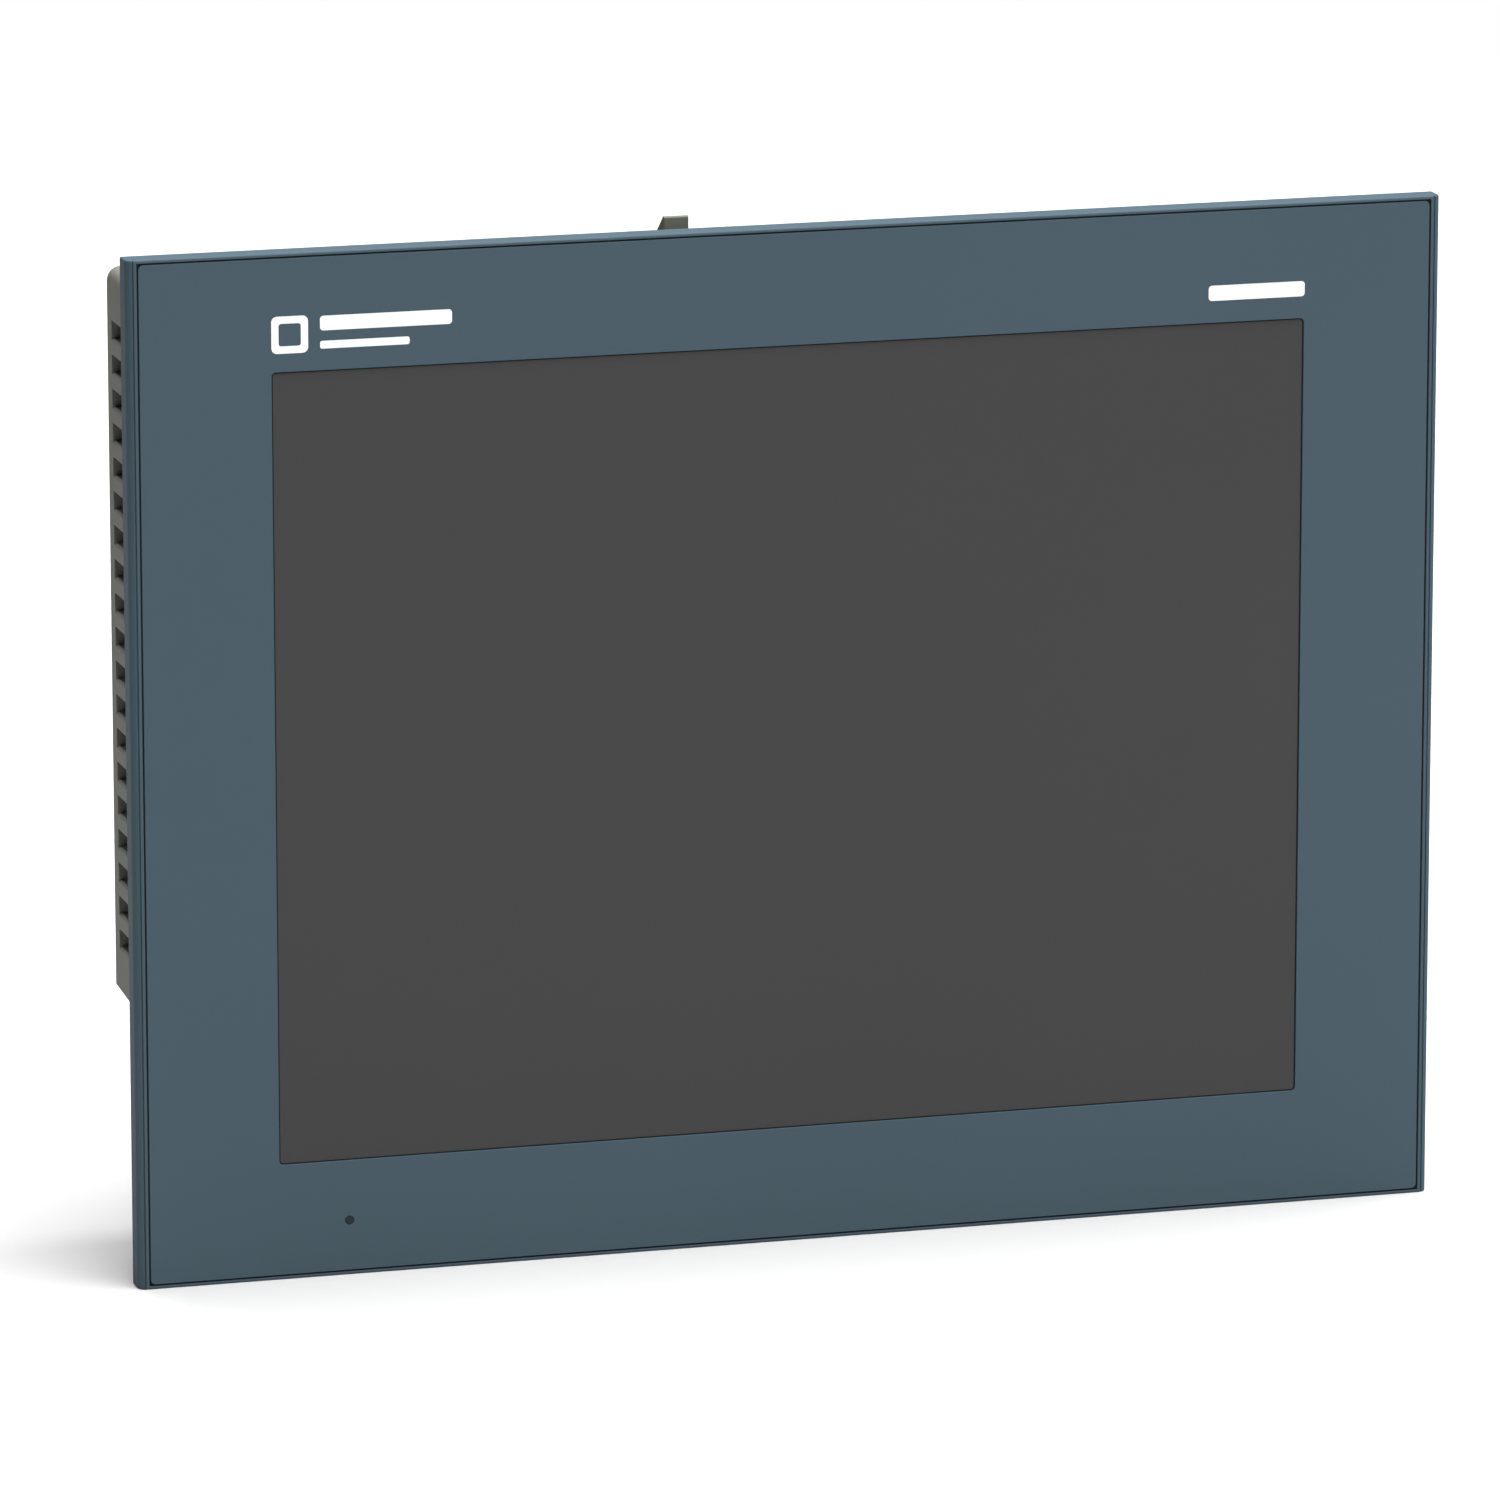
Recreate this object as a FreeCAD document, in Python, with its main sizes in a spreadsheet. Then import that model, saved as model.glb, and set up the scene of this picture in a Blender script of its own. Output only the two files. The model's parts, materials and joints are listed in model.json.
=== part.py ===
import FreeCAD
import Part
import Sketcher
import math
import os
import re

# Operator panel for a control cabinet door: a touch display in a flat bezel with a
# moulded housing behind it. Millimetres. The origin is the middle of the seating plane,
# the rear face of the door gasket. The screen faces -Y, the housing points to +Y, and
# +Z is up.

SIZES = {
    # Front bezel
    "panel_width": 315, "panel_height": 241, "front_face": -7, "bezel_back": -0.8,
    "side_edge_out": 1.6, "side_edge_depth": 2.2, "bezel_edge_radius": 0.4, "crease_half": 0.13,
    "crease_depth": 0.35, "overlay_pocket_width": 310.1, "overlay_pocket_height": 239.55,
    # Overlay sheet with the screen window
    "overlay_width": 309.5, "overlay_height": 238.95, "overlay_thickness": 0.35,
    "overlay_radius": 1.2, "window_width": 247.8, "window_height": 186.2, "window_radius": 1,
    # Touch sensor
    "touch_width": 256, "touch_height": 194, "bay_gap": 0.3, "film_thickness": 0.2,
    "glass_thickness": 1.8, "foam_thickness": 0.8, "tail_left": 60, "tail_right": 80,
    "tail_thickness": 0.2, "tail_drop": -105.9, "tail_rear": 21.4, "tail_top": -87,
    "tail_room": 1, "tail_setback": 0.5, "foam_border": 1,
    # Display module, front to rear
    "lcd_width": 279, "lcd_height": 209, "lcd_gap": 0.4, "lcd_front": -3.85, "lcd_sheet": 0.5,
    "lcd_rear": 3.3, "lcd_border": 0.4, "lcd_nest": 0.3, "cell_width": 262, "cell_height": 200,
    "cell_front": -3.3, "cell_rear": -1.9, "sheets_front": -1.8, "sheets_rear": -1.2,
    "guide_front": -1.1, "guide_rear": 1.9, "reflector_front": 2, "reflector_rear": 2.3,
    "guide_width": 254, "guide_height": 192, "strip_thickness": 1.4, "strip_gap": 0.2,
    "tray_front": -1.6, "tray_floor": 2.5, "tray_wall": 0.8, "cushion_size": 14, "cushion_x": 118,
    "cushion_z": 84, "cushion_thickness": 0.5, "cable_left": -100, "cable_right": -70,
    "cable_thickness": 0.6, "cable_low": -70, "cable_high": -60, "cable_bend_front": 9,
    "cable_bend_rear": 18, "cable_lean": 0.4,
    # Status lamp in the lower left corner of the front
    "lamp_x": -107.34, "lamp_z": -107.48, "lamp_radius": 1, "lamp_clearance": 0.05,
    "lamp_flange_radius": 1.8, "lamp_flange_front": -2.8, "chip_half": 0.8, "chip_front": -0.7,
    "lamp_board_front": 0.3, "lamp_board_rear": 1.3, "lamp_board_half_width": 6,
    "lamp_board_half_height": 2.1, "lamp_board_room": 2, "lamp_board_rise": 0.1,
    # Door gasket
    "gasket_groove": -1.6, "gasket_inner_width": 303, "gasket_inner_height": 229,
    "gasket_width": 4,
    # Posts and rim behind the bezel
    "rim_width": 294.4, "rim_height": 220.4, "rim_wall": 2.2, "rim_rear": 3.4, "post_radius": 3.1,
    "post_x": 143.7, "post_z": 100, "thread_gap": 0.05, "hole_spare": 0.4, "notch_spare": 1,
    # Chassis plate and its screws
    "plate_front": 3.8, "plate_rear": 5, "plate_width": 293, "plate_height": 208,
    "head_chamfer": 0.4, "recess_share": 0.6, "small_screw_radius": 1.25,
    "small_head_radius": 2.4, "small_head_height": 1.2, "plate_screw_tip": -0.4, "cable_room": 2,
    "hook_room": 7, "collar_rear": 7.5, "collar_radius": 3.5,
    # Rear housing
    "skirt_width": 300, "skirt_height": 226, "skirt_rear": 18, "wall": 2.5, "deep_top": 110,
    "deep_rear": 49, "deep_bottom_rear": -60.6, "deep_bottom_front": -62.1, "low_rear": 28,
    "low_bottom": -110, "rear_edge_radius": 3, "top_rear_radius": 4, "skirt_radius": 2,
    # Ventilation slots in both side walls
    "vent_top": 98, "vent_height": 4.3, "vent_pitch": 8.03, "vent_count": 19, "vent_chamfer": 0.5,
    "vent_count_right": 12, "vent_front": 20, "vent_rear": 42, "top_vent_start": 42,
    "top_vent_width": 3.2, "top_vent_pitch": 8, "top_vent_count": 10, "top_vent_front": 22,
    "top_vent_rear": 42,
    # Shallow field in the rear wall
    "field_half_width": 122, "field_bottom": -48, "field_top": 98, "field_depth": 0.6,
    # Slots that take the loose mounting clamps
    "clamp_x": 110, "clamp_slot_width": 16, "clamp_slot_front": 9, "clamp_slot_rear": 15,
    # Housing screws in deep bosses
    "boss_x": 136, "boss_z": 97, "boss_radius": 5.5, "boss_front": 7.8, "boss_seat": 10.3,
    "boss_bore_radius": 3.6, "screw_radius": 1.5, "screw_head_radius": 3,
    "screw_head_height": 2.2, "screw_tip": 4.2,
    # Main circuit board
    "board_front": 22.4, "board_rear": 24, "board_half_width": 144, "board_bottom": -90,
    "board_top": 86, "standoff_radius": 3, "standoff_bore": 6, "board_screw_spare": 1,
    "standoff_x": 120, "standoff_top": 78, "standoff_middle": 0, "standoff_bottom": -82,
    # Processor, memory and cooling
    "processor_x": 0, "processor_z": -12, "processor_half": 15.5, "processor_height": 2.5,
    "sink_half": 20, "sink_base": 3, "sink_height": 11, "fin_count": 8, "fin_thickness": 1.2,
    "memory_x": 34, "memory_z": 8, "memory_width": 11, "memory_height": 8, "memory_pitch": 12,
    "memory_thickness": 1.2,
    # Power parts on the board
    "capacitor_x": 72, "capacitor_z": -40, "capacitor_pitch": 13, "capacitor_radius": 5,
    "capacitor_height": 13, "capacitor_edge": 0.6, "inductor_chamfer": 1.5, "inductor_x": 76,
    "inductor_z": -15, "inductor_half": 6.5, "inductor_pitch": 18, "inductor_height": 7,
    # Clock battery
    "battery_x": 72, "battery_z": 48, "battery_radius": 10, "battery_height": 3.2,
    "holder_radius": 12, "holder_base": 1.4, "holder_rim": 3.6, "holder_gap": 0.1,
    "battery_chamfer": 0.4,
    # Sockets along the underside of the deep housing
    "socket_face": -62.4, "socket_gap": 0.3, "serial_x": -105.5, "serial_half": 15.5,
    "serial_rear": 39.5, "serial_top": -46, "shell_half_width": 8.5, "shell_front": 28.8,
    "shell_rear": 37.2, "shell_wall": 0.6, "shell_face": -64.5, "serial_flange": -57.8,
    "pin_radius": 0.5, "pin_pitch": 2.76, "pin_rows": 2.84, "pin_tip": -64, "jack_screw_x": 12.5,
    "jack_screw_radius": 2.7, "nut_floor": 2, "shell_taper": 1.4, "shell_gap": 0.5,
    "jack_bore_radius": 1.5, "nose_front": 28.6, "nose_top": -57, "jack_half_width": 8,
    "jack_rear": 39.6, "jack_top": -43, "jack_bore_half": 5.9, "jack_bore_front": 29.4,
    "jack_bore_rear": 37.2, "jack_bore_top": -49, "latch_half": 3.1, "latch_rear": 38.8,
    "serial_jack_x": -76, "lan_x_1": -52, "lan_x_2": -31, "usb_half": 7, "usb_rear": 35.8,
    "usb_top": -44, "usb_wall": 0.5, "usb_bore_top": -52, "tongue_half": 5.2,
    "tongue_front": 32.8, "tongue_rear": 34.4, "tongue_tip": -61.4, "usb_x_1": -8, "usb_x_2": 14,
    "device_x": 35, "device_half": 4.2, "device_rear": 33, "device_top": -50,
    "device_bore_top": -54, "device_tongue_half": 2.6, "device_tongue_front": 30.4,
    "device_tongue_rear": 31.2,
    # Reset button in the underside
    "button_x": 56, "button_y": 33, "button_radius": 1.6, "button_face": -62.2,
    "button_top": -53.2, "button_gap": 0.4, "button_edge": 0.4, "switch_bottom": -52.4,
    "switch_top": -46, "switch_half": 3.2, "switch_rear": 37,
    # Expansion connector and its cover in the rear wall
    "expansion_z": 40, "expansion_half": 24, "expansion_height": 4.4, "expansion_rear": 38,
    "cover_half_width": 40, "cover_half_height": 15, "cover_step": 1.5, "cover_ledge": 4,
    "cover_gap": 0.3, "cover_screw_x": 36, "cover_radius": 1.5, "cover_sink": 1,
    "cover_head_height": 0.9,
    # Memory card socket and its door in the right side wall
    "card_z": -28, "card_half": 15, "card_rear": 28.8, "card_left": 117, "card_back": 3,
    "card_right": 145, "card_bore_half": 12.2, "card_bore_front": 25.2, "card_bore_rear": 27.6,
    "door_half_height": 20, "door_front": 19.8, "door_rear": 41.6, "door_inner": 148,
    "door_outer": 150, "door_gap": 0.3, "door_pin_x": 148.6, "door_pin_y": 43,
    "door_pin_radius": 0.8, "door_knuckle_radius": 1.4, "door_pin_clearance": 0.05,
    "door_opening_rear": 45, "door_pin_engagement": 4, "door_grip_depth": 0.8,
    "door_grip_half": 6, "door_grip_reach": 2.2, "door_neck_step": 0.4,
    # Power terminal block on the lower rear wall
    "terminal_x": 97, "terminal_pitch": 8.2, "terminal_half": 13, "terminal_bottom": -84,
    "terminal_top": -66, "terminal_rear": 44, "chamber_half": 3.1, "chamber_front": 29,
    "chamber_rear": 42.2, "chamber_bottom": -82.5, "chamber_top": -67.5, "entry_front": 30.2,
    "entry_rear": 36, "entry_half": 2.6, "driver_hole_radius": 2.5, "contact_half": 1.6,
    "contact_front": 36.2, "contact_rear": 37.2, "contact_bottom": -82, "contact_top": -68.1,
    "tail_half": 0.9, "tail_bottom": -69.3, "tail_slot_gap": 0.1, "clamp_half": 2.75,
    "clamp_front": 29.4, "clamp_rear": 39.6, "clamp_wall": 0.7, "clamp_side": 0.5,
    "clamp_bottom": -80.5, "clamp_top": -71, "clamp_screw_radius": 1.25, "clamp_screw_tip": 37.7,
    "clamp_screw_seat": 42, "clamp_screw_head": 43.7, "clamp_screw_head_radius": 2.1,
    "clamp_screw_z": -75.7, "running_clearance": 0.06, "groove_half": 0.35, "groove_depth": 1,
    # Earth screw, rating plate
    "earth_x": -96, "earth_z": -99, "earth_radius": 2, "earth_head_radius": 3.9,
    "earth_head_height": 2.6, "earth_washer_radius": 5, "earth_washer_thickness": 0.8,
    "earth_boss_front": 18, "plate_label_x": -10, "plate_label_z": -86,
    "plate_label_half_width": 42, "plate_label_half_height": 14, "label_thickness": 0.3,
    "label_gap": 0.3, "label_radius": 2,
    # Spring hook that holds the panel in the cut-out while it is being fastened
    "hook_x": -24.8, "hook_half": 2.9, "hook_front": 5.5, "hook_top": 122.3, "hook_flat": 6.5,
    "hook_chamfer": 0.3, "hook_ramp_rear": 22.8, "arm_top": 109.6, "arm_rear": 31,
    "arm_bottom": 102.6, "arm_front": 12, "neck_y": 9, "neck_z": 106, "neck_front_z": 112,
    "hinge_y": 38, "hinge_z": 103.4, "hub_radius": 3.3, "hub_reach": 2, "hub_waist": 2.6,
    "hook_pin_radius": 1.5, "hook_slot_half": 3.7, "hook_slot_front": 0.4, "hook_slot_rear": 36,
    "rib_gap": 4, "rib_overlap": 0.5, "rib_thickness": 2.5, "rib_front": 30, "shelf_bottom": 88,
    "shelf_top": 90, "shelf_front": 16, "spring_y": 21.5, "spring_radius": 2.2,
    "spring_wire": 0.3, "spring_turns": 5.5, "end_gap": 0.1,
}

TOLERANCE = 0.01
DOC = FreeCAD.newDocument("operator_panel")
SHEET = DOC.addObject("Spreadsheet::Sheet", "Sizes")
for row, (alias, value) in enumerate(SIZES.items(), start=1):
    SHEET.set(f"A{row}", alias)
    SHEET.set(f"B{row}", str(value))
    SHEET.setAlias(f"B{row}", alias)
DOC.recompute()

PARTS = []

# Each plane of a body: the sign that turns a coordinate along its normal into an offset,
# and whether a pad or a pocket has to be reversed to run towards the positive axis.
PLANES = {
    "XY_Plane": {"sign": "", "pad_reversed": False, "cut_reversed": True},
    "XZ_Plane": {"sign": "-", "pad_reversed": True, "cut_reversed": False},
    "YZ_Plane": {"sign": "", "pad_reversed": False, "cut_reversed": True},
}


def linked(text):
    """The expression with every size name pointing at the sheet."""
    def point(word):
        name = word.group()
        return "Sizes." + name if name in SIZES else name
    return re.sub(r"[a-z][a-z_0-9]*", point, str(text))


def size(text):
    """The value of an expression in millimetres."""
    return float(SHEET.evalExpression(str(text)))


def fix(sketch, kind, target, expression):
    """Add one dimension to a sketch and bind it to the sheet."""
    index = sketch.addConstraint(Sketcher.Constraint(kind, *target, size(expression)))
    sketch.setExpression(f"Constraints[{index}]", linked(expression))


def polygon(*points):
    """A closed outline with straight sides."""
    def draw(sketch):
        places = [FreeCAD.Vector(size(u), size(v), 0) for u, v in points]
        first = sketch.GeometryCount
        count = len(points)
        for index in range(count):
            line = Part.LineSegment(places[index], places[(index + 1) % count])
            sketch.addGeometry(line, False)
        for index in range(count):
            after = first + (index + 1) % count
            sketch.addConstraint(Sketcher.Constraint("Coincident", first + index, 2, after, 1))
        for index, (u, v) in enumerate(points):
            fix(sketch, "DistanceX", (-1, 1, first + index, 1), u)
            fix(sketch, "DistanceY", (-1, 1, first + index, 1), v)
    return draw


def rectangle(left, low, right, high):
    return polygon((left, low), (right, low), (right, high), (left, high))


def centred(width, height):
    return rectangle(f"-{width} / 2", f"-{height} / 2", f"{width} / 2", f"{height} / 2")


def square(u, v, half, other_half=None):
    """A rectangle given by its middle and half sizes."""
    tall = other_half or half
    return rectangle(f"{u} - {half}", f"{v} - {tall}", f"{u} + {half}", f"{v} + {tall}")


def circle(u, v, radius):
    def draw(sketch):
        middle = FreeCAD.Vector(size(u), size(v), 0)
        ring = Part.Circle(middle, FreeCAD.Vector(0, 0, 1), size(radius))
        index = sketch.addGeometry(ring, False)
        fix(sketch, "Radius", (index,), radius)
        fix(sketch, "DistanceX", (-1, 1, index, 3), u)
        fix(sketch, "DistanceY", (-1, 1, index, 3), v)
    return draw


def new_body(label):
    body = DOC.addObject("PartDesign::Body", label)
    body.Label = label
    body.AllowCompound = True
    PARTS.append(body)
    return body


def sketch_on(body, plane, start, outlines):
    sketch = body.newObject("Sketcher::SketchObject", f"{body.Label}_sketch")
    planes = {feature.Role: feature for feature in body.Origin.OriginFeatures}
    sketch.AttachmentSupport = (planes[plane], "")
    sketch.MapMode = "FlatFace"
    offset = f"{PLANES[plane]['sign']}({start})"
    sketch.setExpression("AttachmentOffset.Base.z", linked(offset))
    for outline in outlines:
        outline(sketch)
    return sketch


def add(body, plane, start, end, *outlines):
    """Material between two coordinates along the plane's axis."""
    pad = body.newObject("PartDesign::Pad", f"{body.Label}_pad")
    pad.Profile = sketch_on(body, plane, start, outlines)
    pad.setExpression("Length", linked(f"({end}) - ({start})"))
    pad.Reversed = PLANES[plane]["pad_reversed"]
    body.Tip = pad
    return pad


def cut(body, plane, start, end, *outlines):
    """A hollow between two coordinates along the plane's axis."""
    DOC.recompute()
    before = body.Shape.Volume
    pocket = body.newObject("PartDesign::Pocket", f"{body.Label}_pocket")
    pocket.Profile = sketch_on(body, plane, start, outlines)
    pocket.setExpression("Length", linked(f"({end}) - ({start})"))
    pocket.Reversed = PLANES[plane]["cut_reversed"]
    body.Tip = pocket
    DOC.recompute()
    if not body.Shape.Volume < before:
        raise RuntimeError(f"{pocket.Name} removes nothing")
    return pocket


def repeat(body, feature, axis, length, count):
    """Repeat a feature along the H_Axis or V_Axis of its own sketch."""
    pattern = body.newObject("PartDesign::LinearPattern", f"{body.Label}_pattern")
    pattern.Originals = [feature]
    pattern.Direction = (feature.Profile[0], [axis])
    pattern.setExpression("Length", linked(length))
    pattern.setExpression("Occurrences", linked(count))
    body.Tip = pattern
    return pattern


def dress(body, kind, amount, wanted):
    """A fillet or chamfer on the edges whose middle point passes the test."""
    DOC.recompute()
    base = body.Tip
    names = []
    for index, edge in enumerate(body.Shape.Edges, start=1):
        middle = edge.valueAt((edge.FirstParameter + edge.LastParameter) / 2)
        if wanted(edge, middle):
            names.append(f"Edge{index}")
    feature = body.newObject(f"PartDesign::{kind}", f"{body.Label}_{kind.lower()}")
    feature.Base = (base, names)
    feature.setExpression("Radius" if kind == "Fillet" else "Size", linked(amount))
    body.Tip = feature
    return feature


def runs_along(edge, axis):
    box = edge.BoundBox
    lengths = {"x": box.XLength, "y": box.YLength, "z": box.ZLength}
    return all(lengths[other] < TOLERANCE for other in lengths if other != axis)


def near(value, expression):
    return abs(value - size(expression)) < TOLERANCE


def corners(*pairs):
    """Every combination of sign for a place given by its distances from the middle."""
    return [(f"{a}{u}", f"{b}{v}") for u, v in pairs for a in ("", "-") for b in ("", "-")]


def plate(label, plane, start, end, *outlines):
    """A body made of one slab."""
    body = new_body(label)
    add(body, plane, start, end, *outlines)
    return body


# Front of the panel

def bezel_frame():
    body = new_body("bezel_frame")
    radius = "(side_edge_out ^ 2 + side_edge_depth ^ 2) / (2 * side_edge_out)"
    add(body, "XY_Plane", "-panel_height / 2", "panel_height / 2", side_profile(radius))
    dress(body, "Fillet", "bezel_edge_radius", lambda edge, at: near(abs(at.z), "panel_height / 2")
          and not near(at.y, "bezel_back"))
    crease = "panel_width / 2 - side_edge_out"
    for x in (crease, f"-({crease})"):
        cut(body, "XZ_Plane", "front_face", "front_face + crease_depth",
            square(x, "0", "crease_half", "(panel_height / 2)"))
    cut(body, "XZ_Plane", "front_face", "front_face + overlay_thickness",
        centred("overlay_pocket_width", "overlay_pocket_height"))
    cut(body, "XZ_Plane", "front_face", "bezel_back",
        centred("(touch_width + 2 * bay_gap)", "(touch_height + 2 * bay_gap)"))
    cut(body, "XZ_Plane", "lcd_front", "bezel_back",
        centred("(lcd_width + 2 * lcd_gap)", "(lcd_height + 2 * lcd_gap)"))
    cut(body, "XZ_Plane", "front_face", "bezel_back",
        rectangle("tail_left - tail_room", "tail_drop - tail_room", "tail_right + tail_room",
                  "-touch_height / 2"))
    cut(body, "XZ_Plane", "gasket_groove", "bezel_back", *gasket_ring())
    add(body, "XZ_Plane", "bezel_back", "rim_rear", centred("rim_width", "rim_height"),
        centred("(rim_width - 2 * rim_wall)", "(rim_height - 2 * rim_wall)"))
    add(body, "XZ_Plane", "bezel_back", "plate_front",
        *[circle(x, z, "post_radius") for x, z in post_places()])
    cut(body, "XZ_Plane", "plate_screw_tip - hole_spare", "plate_front",
        *[circle(x, z, "small_screw_radius + thread_gap") for x, z in post_places()])
    cut(body, "XZ_Plane", "front_face", "bezel_back",
        circle("lamp_x", "lamp_z", "lamp_radius + lamp_clearance"))
    cut(body, "XZ_Plane", "lamp_flange_front", "bezel_back",
        circle("lamp_x", "lamp_z", "lamp_flange_radius + lamp_clearance"))
    cut_rim_notches(body)


def cut_rim_notches(body):
    """Gaps in the rear rim for the lamp board, the touch sensor's tail and the hook."""
    lamp_room = "(lamp_board_half_width + lamp_board_room)"
    cut(body, "XZ_Plane", "bezel_back", "rim_rear",
        rectangle(f"lamp_x - {lamp_room}", "-rim_height / 2 - notch_spare",
                  f"lamp_x + {lamp_room}", "lamp_z + 3 * notch_spare"),
        rectangle("tail_left - tail_room", "-rim_height / 2 + rim_wall - notch_spare",
                  "tail_right + tail_room", "tail_drop + tail_room"),
        rectangle("hook_x - rib_gap - notch_spare", "rim_height / 2 - rim_wall - notch_spare",
                  "hook_x + rib_gap + notch_spare", "rim_height / 2 + notch_spare"))


def post_places():
    return [(x, z) for z in ("post_z", "-post_z", "0") for x in ("post_x", "-post_x")]


def side_profile(radius):
    """Section of the bezel seen from above, with a rounded edge down each side."""
    def draw(sketch):
        half = size("panel_width / 2")
        inner = size("panel_width / 2 - side_edge_out")
        front = size("front_face")
        bend = size("front_face + side_edge_depth")
        back = size("bezel_back")
        turn = size(radius)
        middle_x = half - turn
        slope = math.atan2(front - bend, inner - middle_x)
        half_turn = slope / 2
        waist = FreeCAD.Vector(middle_x + turn * math.cos(half_turn),
                               bend + turn * math.sin(half_turn), 0)
        mirrored = FreeCAD.Vector(-waist.x, waist.y, 0)
        spots = [(inner, front), (half, bend), (half, back), (-half, back), (-half, bend),
                 (-inner, front)]
        points = [FreeCAD.Vector(x, y, 0) for x, y in spots]
        pieces = [Part.Arc(points[0], waist, points[1]),
                  Part.LineSegment(points[1], points[2]),
                  Part.LineSegment(points[2], points[3]),
                  Part.LineSegment(points[3], points[4]),
                  Part.Arc(points[4], mirrored, points[5]),
                  Part.LineSegment(points[5], points[0])]
        for piece in pieces:
            sketch.addGeometry(piece, False)
        # The first arc runs clockwise and the second too, so their ends are named in turn.
        right_start, right_end = arc_ends(sketch, 0, points[0])
        left_start, left_end = arc_ends(sketch, 4, points[4])
        joins = [(0, right_end, 1, 1), (1, 2, 2, 1), (2, 2, 3, 1), (3, 2, 4, left_start),
                 (4, left_end, 5, 1), (5, 2, 0, right_start)]
        for join in joins:
            sketch.addConstraint(Sketcher.Constraint("Coincident", *join))
        inner_text = "panel_width / 2 - side_edge_out"
        bend_text = "front_face + side_edge_depth"
        places = [(0, right_start, inner_text, "front_face"),
                  (1, 1, "panel_width / 2", bend_text),
                  (2, 1, "panel_width / 2", "bezel_back"),
                  (3, 1, "-panel_width / 2", "bezel_back"),
                  (3, 2, "-panel_width / 2", bend_text),
                  (5, 1, f"-({inner_text})", "front_face")]
        for piece, end, x, y in places:
            fix(sketch, "DistanceX", (-1, 1, piece, end), x)
            fix(sketch, "DistanceY", (-1, 1, piece, end), y)
        fix(sketch, "Radius", (0,), radius)
        fix(sketch, "Radius", (4,), radius)
    return draw


def arc_ends(sketch, index, first_point):
    """Which end of an arc lies at the given point, then the other one."""
    start = sketch.getPoint(index, 1)
    if start.distanceToPoint(first_point) < TOLERANCE:
        return 1, 2
    return 2, 1


def gasket_ring():
    wide = "(gasket_inner_width + 2 * gasket_width)"
    tall = "(gasket_inner_height + 2 * gasket_width)"
    return [centred(wide, tall), centred("gasket_inner_width", "gasket_inner_height")]


def front_overlay():
    body = new_body("front_overlay")
    back = "front_face + overlay_thickness"
    add(body, "XZ_Plane", "front_face", back, centred("overlay_width", "overlay_height"))
    dress(body, "Fillet", "overlay_radius", lambda edge, at: runs_along(edge, "y"))
    cut(body, "XZ_Plane", "front_face", back, centred("window_width", "window_height"),
        circle("lamp_x", "lamp_z", "lamp_radius + lamp_clearance"))
    dress(body, "Fillet", "window_radius",
          lambda edge, at: runs_along(edge, "y") and near(abs(at.x), "window_width / 2"))


def touch_sensor():
    front = "front_face + overlay_thickness"
    glass = f"{front} + film_thickness"
    foam = f"{glass} + glass_thickness"
    sheet = centred("touch_width", "touch_height")
    plate("touch_film", "XZ_Plane", front, glass, sheet)
    plate("touch_glass", "XZ_Plane", glass, foam, sheet)
    plate("touch_gasket", "XZ_Plane", foam, f"{foam} + foam_thickness", sheet,
          centred("(window_width + 2 * foam_border)", "(window_height + 2 * foam_border)"))
    inner_y = f"{glass} + tail_setback"
    outer_y = f"{inner_y} + tail_thickness"
    plate("touch_tail", "YZ_Plane", "tail_left", "tail_right", polygon(
        (inner_y, "-touch_height / 2"), (inner_y, "tail_drop"), ("tail_rear", "tail_drop"),
        ("tail_rear", "tail_top"), ("tail_rear - tail_thickness", "tail_top"),
        ("tail_rear - tail_thickness", "tail_drop + tail_thickness"),
        (outer_y, "tail_drop + tail_thickness"), (outer_y, "-touch_height / 2")))


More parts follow.
